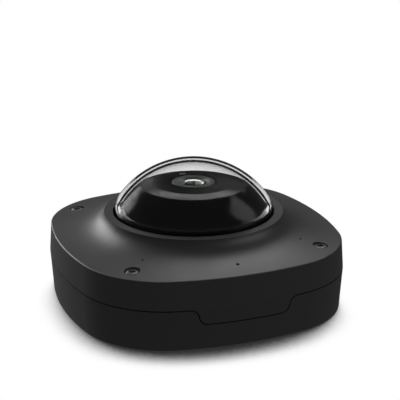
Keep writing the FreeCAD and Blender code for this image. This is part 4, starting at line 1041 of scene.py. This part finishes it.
clear_plastic = clear_finish("clear_plastic", (0.85, 0.87, 0.88), 0.08, 1.49)
clear_glass = clear_finish("clear_glass", (0.86, 0.9, 0.9), 0.01, 1.52)
smoked_plastic = clear_finish("smoked_plastic", (0.10, 0.10, 0.11), 0.08, 1.49)
dress(clear_plastic, "status_led")
dress(smoked_plastic, "light_pipe")
dress(clear_glass, "filter_glass", "lens_rear_glass")

# Fisheye lens
# An anodised barrel screwed into the holder, its lock ring, the chamfered front ring, and the domed front
# glass with a coated second element under it.

element_radius = 0.0046
element_sink = 0.0002
element_edge = 0.0016
element_start = 0.0014
element_rise = 0.0012
element_arc = 9
element_count = 10
element_steps = 64
lens_metal = finish("lens_metal", (0.38, 0.40, 0.38), 0.34, 6000, 0.000004, metal=0.35, wear=0.3,
                    worn=(0.4, 0.42, 0.4))
dress(lens_metal, "lens_barrel", "lens_lock_ring", "lens_ring")
lens_glass = clear_finish("lens_glass", (0.62, 0.68, 0.62), 0.01, 1.6)
dress(lens_glass, "lens_front_glass")
element_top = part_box("lens_front_glass")[0].z - element_sink
element_rings = [(element_top - element_edge, element_radius)]
for i in range(element_count):
    turn = math.radians(element_arc * i)
    element_rings.append((
        element_top - element_start + element_rise * math.sin(turn),
        element_radius * math.cos(turn),
    ))
coated = finish("coated_element", (0.02, 0.035, 0.03), 0.06, 4000, 0.000001, spread=0.02, wear=0.0, coat=1.0)
make_piece("second_element", [ring_stack(element_rings, (0, 0), element_steps)], coated, "base")

# Liner
# Black polished mouldings under the dome: a skirt in the shape of a ball, and a cap on it with a fine seam,
# which leaves a round hole for the lens. A small window for the light sensor lies flush in the cap.

window_place = (0.0, 0.0170)
window_half_length = 0.0018
window_half_width = 0.00080
window_top = 0.06222
window_depth = 0.0004
window_squareness = 4
window_bevel = 0.00008
gloss_black = finish("gloss_black", (0.006, 0.0055, 0.006), 0.15, 3000, 0.000001, spread=0.03, wear=0.04,
                     reflect=0.45)
dress(gloss_black, "liner_skirt", "liner_cap")


def window_outline(turn):
    across = (abs(math.cos(turn)) / window_half_length) ** window_squareness
    along = (abs(math.sin(turn)) / window_half_width) ** window_squareness
    return (across + along) ** (-1 / window_squareness)


window_rings = [(window_top - window_depth, window_outline), (window_top, window_outline)]
milky_window = finish("milky_window", (0.92, 0.92, 0.91), 0.25, 3000, 0.000002, wear=0.0)
make_piece("sensor_window", [ring_stack(window_rings, window_place)], milky_window, "base",
           bevel=window_bevel)

# Dome
# One clear polycarbonate moulding, polished, with a wall of 2.4 mm: a part of a ball, whose rim turns down
# into a short straight skirt and a flange. Two thin bands of its outer face, where the wall is seen along
# itself, have painted shade in their colour, and so has its rim low in the collar.

dome_radius = 0.0497
dome_wall = 0.0024
dome_skirt = 0.0422
dome_blend = 0.0050
flange_height = 0.0024
dome_steps = 256
ball_steps = 48
blend_steps = 16
pole_radius = 0.00002
dome_tint = (0.985, 0.985, 0.985)
dark_outer = 77.0
clear_outer = 73.2
dark_inner = 69.2
band_soft = 0.012
outer_fade = (0.0580, 0.0640)
inner_fade = (0.0430, 0.0460)
rim_shade = (0.0458, 0.0444)
dome_low, dome_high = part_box("dome")
dome_centre = dome_high.z - dome_radius
flange_top = dome_low.z + flange_height
flange_reach = dome_high.x


def bubble_line(ball, skirt):
    """Rings of a ball whose rim turns down into a straight skirt by a blend, from the pole down."""
    middle_r = skirt - dome_blend
    middle_z = math.sqrt((ball - dome_blend) ** 2 - middle_r ** 2)
    meet = math.atan2(middle_r, middle_z)
    rings = []
    for i in range(ball_steps + 1):
        angle = meet * i / ball_steps
        rings.append((dome_centre + ball * math.cos(angle), max(ball * math.sin(angle), pole_radius)))
    for i in range(1, blend_steps + 1):
        angle = meet + (math.pi / 2 - meet) * i / blend_steps
        rings.append((
            dome_centre + middle_z + dome_blend * math.cos(angle),
            middle_r + dome_blend * math.sin(angle),
        ))
    return rings


dome_rings = bubble_line(dome_radius, dome_skirt)
dome_rings += [
    (flange_top, dome_skirt),
    (flange_top, flange_reach),
    (dome_low.z, flange_reach),
    (dome_low.z, dome_skirt - dome_wall),
]
dome_rings += reversed(bubble_line(dome_radius - dome_wall, dome_skirt - dome_wall))
clear_dome = clear_finish("clear_dome", dome_tint, 0.0, 1.585)


def paint_limb_shade(material):
    """Paints shade into the base colour: two thin bands of the outer face, where it is seen along itself, and
    the rim in the collar.
    """
    tree = material.node_tree
    shader = tree.nodes["Principled BSDF"]
    seen = tree.nodes.new("ShaderNodeLayerWeight")
    seen.inputs["Blend"].default_value = 0.5

    def beyond(degrees):
        level = 1 - math.cos(math.radians(degrees))
        return soft_step(tree, seen.outputs["Facing"], level - band_soft, level + band_soft)

    place = tree.nodes.new("ShaderNodeTexCoord")
    split = tree.nodes.new("ShaderNodeSeparateXYZ")
    tree.links.new(place.outputs["Object"], split.inputs["Vector"])
    height = split.outputs["Z"]
    outer_painted_shade = calculate(tree, "MULTIPLY", beyond(dark_outer), soft_step(tree, height, *outer_fade))
    inner_painted_shade = calculate(tree, "SUBTRACT", beyond(dark_inner), beyond(clear_outer))
    inner_painted_shade = calculate(tree, "MULTIPLY", inner_painted_shade, soft_step(tree, height, *inner_fade))
    reach = tree.nodes.new("ShaderNodeVectorMath")
    reach.operation = "DISTANCE"
    tree.links.new(place.outputs["Object"], reach.inputs[0])
    reach.inputs[1].default_value = (0, 0, dome_centre)
    outside = calculate(tree, "GREATER_THAN", reach.outputs["Value"], dome_radius - dome_wall / 2)
    dark = calculate(tree, "MULTIPLY", calculate(tree, "ADD", outer_painted_shade, inner_painted_shade), outside)
    # Painted shade: the dome's rim low in the collar turns black.
    dark = calculate(tree, "MAXIMUM", dark, soft_step(tree, height, *rim_shade))
    tree.links.new(mix_colour(tree, dark, dome_tint, (0.0, 0.0, 0.0)), shader.inputs["Base Color"])


paint_limb_shade(clear_dome)
dome_form = ring_stack(dome_rings, (0, 0), dome_steps)
dome = make_piece("dome_bubble", [dome_form], clear_dome, "cover")
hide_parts("dome")
